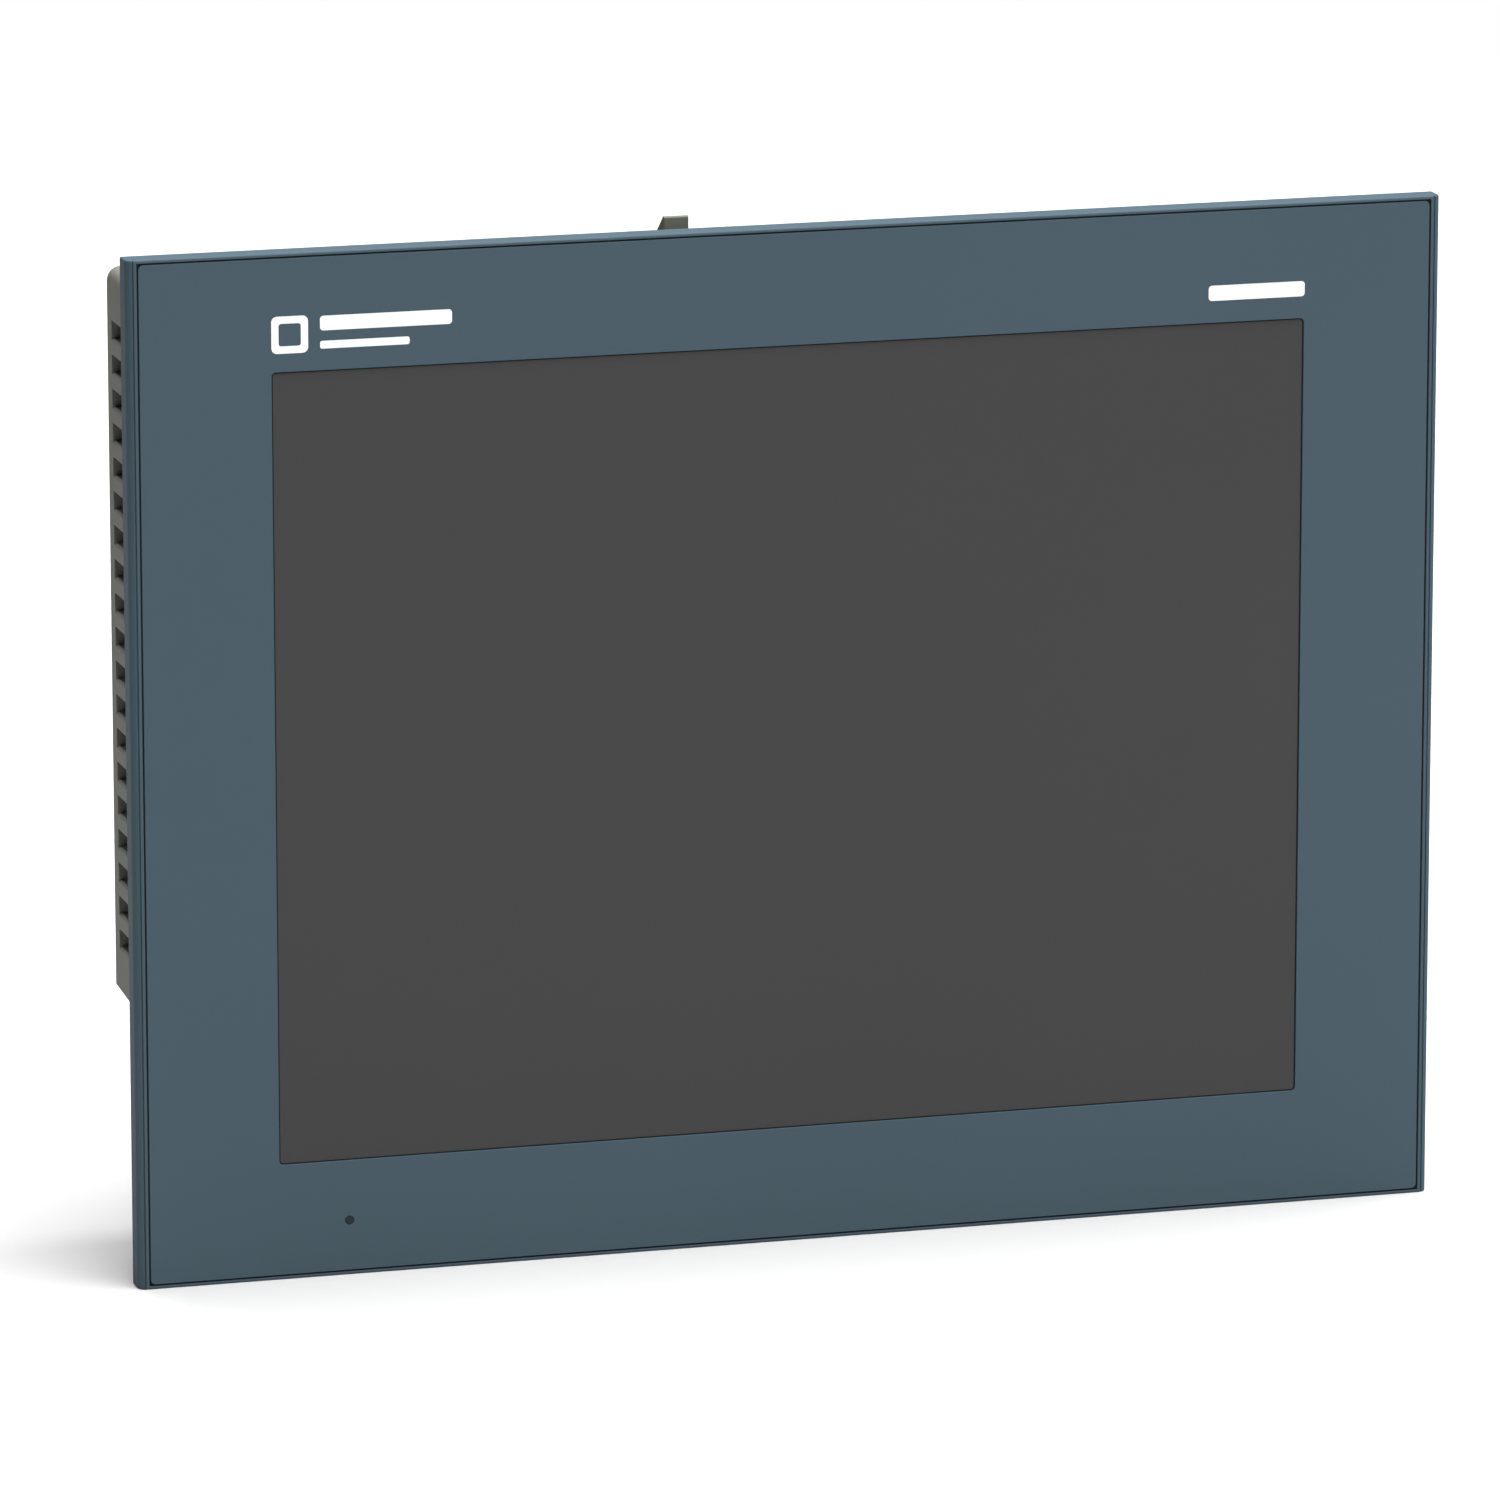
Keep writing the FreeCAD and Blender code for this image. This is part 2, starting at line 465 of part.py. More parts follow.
def display_module():
    frame = new_body("lcd_front_frame")
    add(frame, "XZ_Plane", "lcd_front", "lcd_rear", centred("lcd_width", "lcd_height"))
    cut(frame, "XZ_Plane", "lcd_front + lcd_sheet", "lcd_rear",
        centred("(lcd_width - 2 * lcd_sheet)", "(lcd_height - 2 * lcd_sheet)"))
    cut(frame, "XZ_Plane", "lcd_front", "lcd_front + lcd_sheet",
        centred("(window_width + 2 * lcd_border)", "(window_height + 2 * lcd_border)"))
    plate("lcd_cell", "XZ_Plane", "cell_front", "cell_rear", centred("cell_width", "cell_height"))
    guide = centred("guide_width", "guide_height")
    sheets = plate("optical_sheets", "XZ_Plane", "sheets_front", "sheets_rear", guide)
    add(sheets, "XZ_Plane", "reflector_front", "reflector_rear", guide)
    plate("light_guide", "XZ_Plane", "guide_front", "guide_rear", guide)
    strips = new_body("backlight_strips")
    edge = "guide_height / 2 + strip_gap"
    for low, high in ((edge, f"{edge} + strip_thickness"), (f"-({edge} + strip_thickness)",
                                                            f"-({edge})")):
        add(strips, "XZ_Plane", "guide_front", "guide_rear",
            rectangle("-guide_width / 2", low, "guide_width / 2", high))
    tray = new_body("lcd_rear_tray")
    width = "(lcd_width - 2 * lcd_sheet - 2 * lcd_nest)"
    height = "(lcd_height - 2 * lcd_sheet - 2 * lcd_nest)"
    add(tray, "XZ_Plane", "tray_front", "lcd_rear", centred(width, height))
    cut(tray, "XZ_Plane", "tray_front", "tray_floor",
        centred(f"({width} - 2 * tray_wall)", f"({height} - 2 * tray_wall)"))
    cushions = new_body("lcd_cushions")
    add(cushions, "XZ_Plane", "lcd_rear", "lcd_rear + cushion_thickness",
        *[square(x, z, "cushion_size / 2") for x, z in corners(("cushion_x", "cushion_z"))])
    plate("lcd_cable", "YZ_Plane", "cable_left", "cable_right", polygon(
        ("lcd_rear", "cable_low"), ("cable_bend_front", "cable_low"),
        ("cable_bend_rear", "cable_high"), ("board_front", "cable_high"),
        ("board_front", "cable_high + cable_thickness"),
        ("cable_bend_rear - cable_lean", "cable_high + cable_thickness"),
        ("cable_bend_front - cable_lean", "cable_low + cable_thickness"),
        ("lcd_rear", "cable_low + cable_thickness")))


def status_lamp():
    pipe = new_body("status_light_pipe")
    add(pipe, "XZ_Plane", "front_face", "bezel_back", circle("lamp_x", "lamp_z", "lamp_radius"))
    add(pipe, "XZ_Plane", "lamp_flange_front", "bezel_back",
        circle("lamp_x", "lamp_z", "lamp_flange_radius"))
    plate("status_led", "XZ_Plane", "chip_front", "lamp_board_front",
          square("lamp_x", "lamp_z", "chip_half", "chip_half / 2"))
    plate("status_board", "XZ_Plane", "lamp_board_front", "lamp_board_rear",
          square("lamp_x", "lamp_z + lamp_board_rise", "lamp_board_half_width",
                 "lamp_board_half_height"))


def panel_gasket():
    plate("panel_gasket", "XZ_Plane", "gasket_groove", "0", *gasket_ring())


# Chassis, boards and what stands on them

def screws(label, plane_rear, radius, head_radius, head_height, tip, places):
    """Pan head screws whose heads sit on a face that looks to the rear."""
    body = new_body(label)
    add(body, "XZ_Plane", tip, plane_rear, *[circle(x, z, radius) for x, z in places])
    add(body, "XZ_Plane", plane_rear, f"{plane_rear} + {head_height}",
        *[circle(x, z, head_radius) for x, z in places])
    rear = f"{plane_rear} + {head_height}"
    dress(body, "Chamfer", "head_chamfer", lambda edge, at: near(at.y, rear))
    arm = f"{head_radius} * recess_share"
    cut(body, "XZ_Plane", f"{rear} - {head_height} / 2", rear,
        *[cross(x, z, arm, "groove_half") for x, z in places])
    return body


def cross(u, v, arm, half):
    """The outline of a cross recess."""
    turns = [("+", "+"), ("-", "+"), ("-", "-"), ("+", "-")]
    points = []
    for step, (a, b) in enumerate(turns):
        wide = (f"{u} {a} {arm}", f"{v} {b} {half}")
        inner = (f"{u} {a} {half}", f"{v} {b} {half}")
        tall = (f"{u} {a} {half}", f"{v} {b} {arm}")
        points += [wide, inner, tall] if step % 2 == 0 else [tall, inner, wide]
    return polygon(*points)


def chassis():
    body = new_body("chassis_plate")
    add(body, "XZ_Plane", "plate_front", "plate_rear", centred("plate_width", "plate_height"))
    bosses = corners(("boss_x", "boss_z"))
    add(body, "XZ_Plane", "plate_rear", "collar_rear",
        *[circle(x, z, "collar_radius") for x, z in bosses])
    cut(body, "XZ_Plane", "plate_front", "collar_rear",
        *[circle(x, z, "screw_radius + thread_gap") for x, z in bosses])
    cut(body, "XZ_Plane", "plate_front", "plate_rear",
        *[circle(x, z, "small_screw_radius + thread_gap") for x, z in post_places()])
    cut(body, "XZ_Plane", "plate_front", "plate_rear",
        rectangle("cable_left - cable_room", "cable_low - 3 * cable_room",
                  "cable_right + cable_room", "cable_high + 3 * cable_room"))
    cut(body, "XZ_Plane", "plate_front", "plate_rear",
        rectangle("hook_x - hook_room", "shelf_top", "hook_x + hook_room",
                  "plate_height / 2 + notch_spare"))
    screws("chassis_screws", "plate_rear", "small_screw_radius", "small_head_radius",
           "small_head_height", "plate_screw_tip", post_places())


def standoff_places():
    rows = ("standoff_top", "standoff_middle", "standoff_bottom")
    return [(x, z) for z in rows for x in ("standoff_x", "-standoff_x")]


def main_board():
    body = new_body("main_board")
    outline = rectangle("-board_half_width", "board_bottom", "board_half_width", "board_top")
    add(body, "XZ_Plane", "board_front", "board_rear", outline)
    cut(body, "XZ_Plane", "board_front", "board_rear",
        *[circle(x, z, "small_screw_radius + thread_gap") for x, z in standoff_places()])
    standoffs = new_body("board_standoffs")
    add(standoffs, "XZ_Plane", "plate_rear", "board_front",
        *[hexagon(x, z, "standoff_radius") for x, z in standoff_places()])
    cut(standoffs, "XZ_Plane", "board_front - standoff_bore", "board_front",
        *[circle(x, z, "small_screw_radius + thread_gap") for x, z in standoff_places()])
    screws("board_screws", "board_rear", "small_screw_radius", "small_head_radius",
           "small_head_height", "board_front - standoff_bore + board_screw_spare",
           standoff_places())


def hexagon(u, v, radius):
    points = []
    for step in range(6):
        angle = 60 * step
        points.append((f"{u} + {radius} * cos({angle} deg)", f"{v} + {radius} * sin({angle} deg)"))
    return polygon(*points)


def processor_group():
    plate("processor", "XZ_Plane", "board_rear", "board_rear + processor_height",
          square("processor_x", "processor_z", "processor_half"))
    sink = new_body("heat_sink")
    base = "board_rear + processor_height"
    add(sink, "XZ_Plane", base, f"{base} + sink_height",
        square("processor_x", "processor_z", "sink_half"))
    gap = "(2 * sink_half - fin_count * fin_thickness) / (fin_count - 1)"
    left = "processor_x - sink_half + fin_thickness"
    gap_cut = cut(sink, "XZ_Plane", f"{base} + sink_base", f"{base} + sink_height",
                  rectangle(left, "processor_z - sink_half", f"{left} + {gap}",
                            "processor_z + sink_half"))
    repeat(sink, gap_cut, "H_Axis", f"({gap} + fin_thickness) * (fin_count - 2)", "fin_count - 1")
    chips = new_body("memory_chips")
    places = [("memory_x", f"memory_z - {step} * memory_pitch") for step in range(4)]
    add(chips, "XZ_Plane", "board_rear", "board_rear + memory_thickness",
        *[square(x, z, "memory_width / 2", "memory_height / 2") for x, z in places])


def power_parts():
    capacitors = new_body("filter_capacitors")
    places = [(f"capacitor_x + {step} * capacitor_pitch", "capacitor_z") for step in range(4)]
    top = "board_rear + capacitor_height"
    add(capacitors, "XZ_Plane", "board_rear", top,
        *[circle(x, z, "capacitor_radius") for x, z in places])
    dress(capacitors, "Fillet", "capacitor_edge", lambda edge, at: near(at.y, top))
    inductors = new_body("power_inductors")
    places = [(f"inductor_x + {step} * inductor_pitch", "inductor_z") for step in range(2)]
    top = "board_rear + inductor_height"
    add(inductors, "XZ_Plane", "board_rear", top,
        *[square(x, z, "inductor_half") for x, z in places])
    dress(inductors, "Chamfer", "inductor_chamfer", lambda edge, at: runs_along(edge, "y"))


def clock_battery():
    holder = new_body("battery_holder")
    add(holder, "XZ_Plane", "board_rear", "board_rear + holder_base + holder_rim",
        circle("battery_x", "battery_z", "holder_radius"))
    cut(holder, "XZ_Plane", "board_rear + holder_base", "board_rear + holder_base + holder_rim",
        circle("battery_x", "battery_z", "battery_radius + holder_gap"))
    cell = plate("backup_battery", "XZ_Plane", "board_rear + holder_base",
                 "board_rear + holder_base + battery_height",
                 circle("battery_x", "battery_z", "battery_radius"))
    top = "board_rear + holder_base + battery_height"
    dress(cell, "Chamfer", "battery_chamfer", lambda edge, at: near(at.y, top))


# Sockets on the board that show through the housing

def serial_port():
    body = new_body("serial_port")
    add(body, "XY_Plane", "serial_flange", "serial_top",
        rectangle("serial_x - serial_half", "board_rear", "serial_x + serial_half",
                  "serial_rear"))
    add(body, "XY_Plane", "shell_face", "serial_flange", *serial_shell())
    pin_places = []
    for row, count in ((-1, 5), (1, 4)):
        for step in range(count):
            shift = step - (count - 1) / 2
            pin_places.append((f"serial_x + {shift} * pin_pitch",
                               f"(shell_front + shell_rear) / 2 + {row} * pin_rows / 2"))
    add(body, "XY_Plane", "pin_tip", "serial_flange",
        *[circle(x, y, "pin_radius") for x, y in pin_places])
    screw_y = "(shell_front + shell_rear) / 2"
    places = [("serial_x - jack_screw_x", screw_y), ("serial_x + jack_screw_x", screw_y)]
    nuts = plate("serial_jackscrews", "XY_Plane", "shell_face", "serial_flange",
                 *[hexagon(x, y, "jack_screw_radius") for x, y in places])
    cut(nuts, "XY_Plane", "shell_face", "serial_flange - nut_floor",
        *[circle(x, y, "jack_bore_radius") for x, y in places])


def serial_shell():
    """The D-shaped tube around the serial pins."""
    outlines = []
    for inset in ("0", "shell_wall"):
        low = f"shell_front + {inset}"
        high = f"shell_rear - {inset}"
        wide = f"shell_half_width - {inset}"
        outlines.append(polygon((f"serial_x - ({wide})", low), (f"serial_x + ({wide})", low),
                                (f"serial_x + ({wide}) - shell_taper", high),
                                (f"serial_x - ({wide}) + shell_taper", high)))
    return outlines


def socket_shell(body, x, half, rear, top):
    """A block on the board with a nose that reaches out through the underside."""
    add(body, "XY_Plane", "nose_top", top,
        rectangle(f"{x} - {half}", "board_rear", f"{x} + {half}", rear))
    add(body, "XY_Plane", "socket_face", "nose_top",
        rectangle(f"{x} - {half}", "nose_front", f"{x} + {half}", rear))


def jack(body, x):
    """An eight-way modular jack that opens downwards."""
    socket_shell(body, x, "jack_half_width", "jack_rear", "jack_top")
    cut(body, "XY_Plane", "socket_face", "jack_bore_top",
        rectangle(f"{x} - jack_bore_half", "jack_bore_front", f"{x} + jack_bore_half",
                  "jack_bore_rear"))
    cut(body, "XY_Plane", "socket_face", "jack_bore_top",
        rectangle(f"{x} - latch_half", "jack_bore_rear", f"{x} + latch_half", "latch_rear"))


def modular_jacks():
    jack(new_body("serial_jack"), "serial_jack_x")
    jack(new_body("lan_port_1"), "lan_x_1")
    jack(new_body("lan_port_2"), "lan_x_2")


def usb_ports():
    body = new_body("usb_host_ports")
    for x in ("usb_x_1", "usb_x_2"):
        socket_shell(body, x, "usb_half", "usb_rear", "usb_top")
        cut(body, "XY_Plane", "socket_face", "usb_bore_top",
            rectangle(f"{x} - usb_half + usb_wall", "nose_front + usb_wall",
                      f"{x} + usb_half - usb_wall", "usb_rear - usb_wall"))
        add(body, "XY_Plane", "tongue_tip", "usb_bore_top",
            rectangle(f"{x} - tongue_half", "tongue_front", f"{x} + tongue_half",
                      "tongue_rear"))
    device = new_body("usb_device_port")
    socket_shell(device, "device_x", "device_half", "device_rear", "device_top")
    cut(device, "XY_Plane", "socket_face", "device_bore_top",
        rectangle("device_x - device_half + usb_wall", "nose_front + usb_wall",
                  "device_x + device_half - usb_wall", "device_rear - usb_wall"))
    add(device, "XY_Plane", "tongue_tip", "device_bore_top",
        rectangle("device_x - device_tongue_half", "device_tongue_front",
                  "device_x + device_tongue_half", "device_tongue_rear"))


def reset_button():
    plate("reset_switch", "XY_Plane", "switch_bottom", "switch_top",
          rectangle("button_x - switch_half", "board_rear", "button_x + switch_half",
                    "switch_rear"))
    cap = plate("reset_button", "XY_Plane", "button_face", "button_top",
                circle("button_x", "button_y", "button_radius"))
    dress(cap, "Fillet", "button_edge", lambda edge, at: near(at.z, "button_face"))


def expansion_parts():
    plate("expansion_connector", "XZ_Plane", "board_rear", "expansion_rear",
          rectangle("-expansion_half", "expansion_z - expansion_height", "expansion_half",
                    "expansion_z + expansion_height"))
    cover = new_body("expansion_cover")
    add(cover, "XZ_Plane", "deep_rear - cover_step", "deep_rear",
        square("0", "expansion_z", "(cover_half_width - cover_gap)",
               "(cover_half_height - cover_gap)"))
    dress(cover, "Fillet", "cover_radius", lambda edge, at: runs_along(edge, "y"))
    places = [("-cover_screw_x", "expansion_z"), ("cover_screw_x", "expansion_z")]
    cut(cover, "XZ_Plane", "deep_rear - cover_step", "deep_rear",
        *[circle(x, z, "small_screw_radius + thread_gap") for x, z in places])
    cut(cover, "XZ_Plane", "deep_rear - cover_sink", "deep_rear",
        *[circle(x, z, "small_head_radius + cover_gap") for x, z in places])
    screws("expansion_cover_screws", "deep_rear - cover_sink", "small_screw_radius",
           "small_head_radius", "cover_head_height", "deep_rear - wall - cover_step", places)


def card_socket_and_door():
    socket = plate("card_socket", "XZ_Plane", "board_rear", "card_rear",
                   rectangle("card_left", "card_z - card_half", "card_right",
                             "card_z + card_half"))
    cut(socket, "YZ_Plane", "card_left + card_back", "card_right",
        rectangle("card_bore_front", "card_z - card_bore_half", "card_bore_rear",
                  "card_z + card_bore_half"))
    door = new_body("card_door")
    low = "card_z - door_half_height"
    high = "card_z + door_half_height"
    add(door, "XY_Plane", low, high,
        rectangle("door_inner", "door_front", "door_outer", "door_rear"))
    add(door, "XY_Plane", low, high,
        circle("door_pin_x", "door_pin_y", "door_knuckle_radius"))
    add(door, "XY_Plane", low, high,
        rectangle("door_inner", "door_rear", "door_outer - door_neck_step", "door_pin_y"))
    cut(door, "XY_Plane", low, high,
        circle("door_pin_x", "door_pin_y", "door_pin_radius + door_pin_clearance"))
    cut(door, "XY_Plane", "card_z - door_grip_half", "card_z + door_grip_half",
        rectangle("door_outer - door_grip_depth", "door_front", "door_outer",
                  "door_front + door_grip_reach"))
    plate("card_door_pin", "XY_Plane", f"{low} - door_pin_engagement",
          f"{high} + door_pin_engagement",
          circle("door_pin_x", "door_pin_y", "door_pin_radius"))


# Power terminals with rising clamps

def pole_x(pole):
    return f"terminal_x + {pole - 2} * terminal_pitch"


def terminal_block():
    body = new_body("power_terminal_block")
    add(body, "XY_Plane", "terminal_bottom", "terminal_top",
        rectangle("terminal_x - terminal_half", "board_rear", "terminal_x + terminal_half",
                  "terminal_rear"))
    poles = [pole_x(pole) for pole in (1, 2, 3)]
    cut(body, "XY_Plane", "chamber_bottom", "chamber_top",
        *[rectangle(f"{x} - chamber_half", "chamber_front", f"{x} + chamber_half",
                    "chamber_rear") for x in poles])
    cut(body, "XY_Plane", "terminal_bottom", "chamber_bottom",
        *[rectangle(f"{x} - entry_half", "entry_front", f"{x} + entry_half", "entry_rear")
          for x in poles])
    cut(body, "XZ_Plane", "chamber_rear", "terminal_rear",
        *[circle(x, "clamp_screw_z", "driver_hole_radius") for x in poles])
    cut(body, "XZ_Plane", "board_rear", "chamber_front",
        *[rectangle(f"{x} - tail_half - tail_slot_gap", "tail_bottom - tail_slot_gap",
                    f"{x} + tail_half + tail_slot_gap", "contact_top + tail_slot_gap")
          for x in poles])
    contacts = new_body("terminal_contacts")
    for x in poles:
        add(contacts, "XZ_Plane", "contact_front", "contact_rear",
            rectangle(f"{x} - contact_half", "contact_bottom", f"{x} + contact_half",
                      "contact_top"))
        add(contacts, "XZ_Plane", "board_rear", "contact_rear",
            rectangle(f"{x} - tail_half", "tail_bottom", f"{x} + tail_half", "contact_top"))
    for pole, x in enumerate(poles, start=1):
        terminal_pole(pole, x)


def terminal_pole(pole, x):
    clamp = new_body(f"wire_clamp_{pole}")
    add(clamp, "XY_Plane", "clamp_bottom", "clamp_top",
        rectangle(f"{x} - clamp_half", "clamp_front", f"{x} + clamp_half", "clamp_rear"),
        rectangle(f"{x} - clamp_half + clamp_side", "clamp_front + clamp_wall",
                  f"{x} + clamp_half - clamp_side", "clamp_rear - clamp_wall"))
    cut(clamp, "XZ_Plane", "clamp_rear - clamp_wall", "clamp_rear",
        circle(x, "clamp_screw_z", "clamp_screw_radius + running_clearance"))
    screw = new_body(f"terminal_screw_{pole}")
    add(screw, "XZ_Plane", "clamp_screw_tip", "clamp_screw_seat",
        circle(x, "clamp_screw_z", "clamp_screw_radius"))
    add(screw, "XZ_Plane", "clamp_screw_seat", "clamp_screw_head",
        circle(x, "clamp_screw_z", "clamp_screw_head_radius"))
    cut(screw, "XZ_Plane", "clamp_screw_head - groove_depth", "clamp_screw_head",
        rectangle(f"{x} - clamp_screw_head_radius", "clamp_screw_z - groove_half",
                  f"{x} + clamp_screw_head_radius", "clamp_screw_z + groove_half"))


# Spring hook in the top of the housing

def hook():
    lever = new_body("panel_hook")
    add(lever, "YZ_Plane", "hook_x - hook_half", "hook_x + hook_half", polygon(
        ("hook_front", "hook_top - hook_chamfer"), ("hook_front + hook_chamfer", "hook_top"),
        ("hook_flat", "hook_top"), ("hook_ramp_rear", "arm_top"), ("arm_rear", "arm_top"),
        ("hinge_y - hub_reach", "hinge_z + hub_waist"),
        ("hinge_y - hub_reach", "hinge_z - hub_waist"),
        ("arm_rear - hub_radius", "arm_bottom"), ("arm_front", "arm_bottom"), ("neck_y", "neck_z"),
        ("hook_front", "neck_front_z")))
    add(lever, "YZ_Plane", "hook_x - hook_half", "hook_x + hook_half",
        circle("hinge_y", "hinge_z", "hub_radius"))
    cut(lever, "YZ_Plane", "hook_x - hook_half", "hook_x + hook_half",
        circle("hinge_y", "hinge_z", "hook_pin_radius + running_clearance"))
    reach = "rib_gap + rib_thickness"
    plate("hook_pin", "YZ_Plane", f"hook_x - ({reach})", f"hook_x + ({reach})",
          circle("hinge_y", "hinge_z", "hook_pin_radius"))
    hook_spring()


def hook_spring():
    """Compression spring between the housing shelf and the lever's arm."""
    body = new_body("hook_spring")
    sketch = sketch_on(body, "XZ_Plane", "0",
                       [circle("spring_radius", "0", "spring_wire")])
    coil = body.newObject("PartDesign::AdditiveHelix", "hook_spring_coil")
    coil.Profile = sketch
    coil.ReferenceAxis = (sketch, ["V_Axis"])
    coil.Mode = "height-turns-angle"
    coil.setExpression("Height", linked("arm_bottom - shelf_top - 2 * (spring_wire + end_gap)"))
    coil.setExpression("Turns", linked("spring_turns"))
    body.Tip = coil
    body.setExpression("Placement.Base.x", linked("hook_x"))
    body.setExpression("Placement.Base.y", linked("spring_y"))
    body.setExpression("Placement.Base.z", linked("shelf_top + spring_wire + end_gap"))


# Rear housing and its fasteners

def rear_cover():
    body = new_body("rear_cover")
    add(body, "YZ_Plane", "-skirt_width / 2", "skirt_width / 2", polygon(
        ("bezel_back", "skirt_height / 2"), ("skirt_rear", "skirt_height / 2"),
        ("skirt_rear", "deep_top"), ("deep_rear", "deep_top"),
        ("deep_rear", "deep_bottom_rear"), ("low_rear", "deep_bottom_front"),
        ("low_rear", "low_bottom"), ("skirt_rear", "low_bottom"),
        ("skirt_rear", "-skirt_height / 2"), ("bezel_back", "-skirt_height / 2")))
    dress(body, "Fillet", "skirt_radius", lambda edge, at: runs_along(edge, "y")
          and (near(abs(at.z), "skirt_height / 2") or near(at.z, "low_bottom")))
    dress(body, "Fillet", "top_rear_radius", lambda edge, at: runs_along(edge, "x")
          and near(at.y, "deep_rear") and near(at.z, "deep_top"))
    dress(body, "Fillet", "rear_edge_radius", lambda edge, at: near(at.y, "deep_rear")
          and near(abs(at.x), "skirt_width / 2"))
    cut(body, "YZ_Plane", "-skirt_width / 2 + wall", "skirt_width / 2 - wall", polygon(
        ("bezel_back", "skirt_height / 2 - wall"),
        ("skirt_rear - wall", "skirt_height / 2 - wall"),
        ("skirt_rear - wall", "deep_top - wall"), ("deep_rear - wall", "deep_top - wall"),
        ("deep_rear - wall", "deep_bottom_rear + wall"),
        ("low_rear - wall", "deep_bottom_front + wall"), ("low_rear - wall", "low_bottom + wall"),
        ("skirt_rear - wall", "low_bottom + wall"),
        ("skirt_rear - wall", "-skirt_height / 2 + wall"),
        ("bezel_back", "-skirt_height / 2 + wall")))
    add_bosses(body)
    cut_rear_fields(body)
    cut_vents(body)
    cut_top_vents(body)
    cut_clamp_slots(body)
    cut_socket_openings(body)
    cut_rear_openings(body)
    cut_door_opening(body)
    hook_seat(body)
    places = corners(("boss_x", "boss_z"))
    screws("rear_cover_screws", "boss_seat", "screw_radius", "screw_head_radius",
           "screw_head_height", "screw_tip", places)


def add_bosses(body):
    """Four deep bosses that reach forward to the chassis collars."""
    rows = (("boss_z", "deep_rear"), ("-boss_z", "low_rear"))
    for z, rear in rows:
        places = [("boss_x", z), ("-boss_x", z)]
        add(body, "XZ_Plane", "boss_front", f"{rear} - wall / 2",
            *[circle(x, height, "boss_radius") for x, height in places])
        cut(body, "XZ_Plane", "boss_seat", rear,
            *[circle(x, height, "boss_bore_radius") for x, height in places])
        cut(body, "XZ_Plane", "boss_front", "boss_seat",
            *[circle(x, height, "screw_radius + thread_gap") for x, height in places])


def cut_vents(body):
    sides = (("-skirt_width / 2", "-skirt_width / 2 + wall", "vent_count"),
             ("skirt_width / 2 - wall", "skirt_width / 2", "vent_count_right"))
    for start, end, count in sides:
        slot = cut(body, "YZ_Plane", start, end,
                   rectangle("vent_front", "vent_top - vent_height", "vent_rear", "vent_top"))
        pattern = repeat(body, slot, "V_Axis", f"vent_pitch * ({count} - 1)", count)
        pattern.Reversed = True
    dress(body, "Chamfer", "vent_chamfer", is_vent_sill)


def is_vent_sill(edge, at):
    """Whether this is the outer lower edge of a side vent."""
    drop = (size("vent_top") - at.z) % size("vent_pitch")
    return (runs_along(edge, "y") and near(abs(at.x), "skirt_width / 2")
            and near(edge.Length, "vent_rear - vent_front") and near(drop, "vent_height"))


def cut_top_vents(body):
    for sign, flip in (("", False), ("-", True)):
        near_edge = f"{sign}top_vent_start"
        far_edge = f"{sign}(top_vent_start + top_vent_width)"
        low, high = (far_edge, near_edge) if flip else (near_edge, far_edge)
        slot = cut(body, "XY_Plane", "deep_top - wall", "deep_top",
                   rectangle(low, "top_vent_front", high, "top_vent_rear"))
        pattern = repeat(body, slot, "H_Axis", "top_vent_pitch * (top_vent_count - 1)",
                         "top_vent_count")
        pattern.Reversed = flip


def cut_rear_fields(body):
    """Shallow steps around the middle of the rear wall and under the rating plate."""
    cut(body, "XZ_Plane", "deep_rear - field_depth", "deep_rear",
        rectangle("-field_half_width", "field_bottom", "field_half_width", "field_top"))
    cut(body, "XZ_Plane", "low_rear - label_thickness", "low_rear",
        square("plate_label_x", "plate_label_z", "(plate_label_half_width + label_gap)",
               "(plate_label_half_height + label_gap)"))


def cut_clamp_slots(body):
    places = [rectangle(f"{x} - clamp_slot_width / 2", "clamp_slot_front",
                        f"{x} + clamp_slot_width / 2", "clamp_slot_rear")
              for x in ("clamp_x", "-clamp_x")]
    cut(body, "XY_Plane", "skirt_height / 2 - wall", "skirt_height / 2", *places)
    cut(body, "XY_Plane", "-skirt_height / 2", "-skirt_height / 2 + wall", *places)


def socket_holes():
    """Outlines of the openings in the underside of the deep housing."""
    gap = "socket_gap"
    holes = [rectangle("serial_x - shell_half_width - shell_gap", "shell_front - shell_gap",
                       "serial_x + shell_half_width + shell_gap", "shell_rear + shell_gap")]
    screw_y = "(shell_front + shell_rear) / 2"
    for side in ("-", "+"):
        holes.append(circle(f"serial_x {side} jack_screw_x", screw_y,
                            "jack_screw_radius + socket_gap"))
    sockets = [("serial_jack_x", "jack"), ("lan_x_1", "jack"), ("lan_x_2", "jack"),
               ("usb_x_1", "usb"), ("usb_x_2", "usb"), ("device_x", "device")]
    for x, kind in sockets:
        half = "jack_half_width" if kind == "jack" else f"{kind}_half"
        holes.append(rectangle(f"{x} - {half} - {gap}", f"nose_front - {gap}",
                               f"{x} + {half} + {gap}", f"{kind}_rear + {gap}"))
    holes.append(circle("button_x", "button_y", "button_radius + button_gap"))
    return holes


def cut_socket_openings(body):
    cut(body, "XY_Plane", "deep_bottom_front - wall", "deep_bottom_rear + 2 * wall",
        *socket_holes())


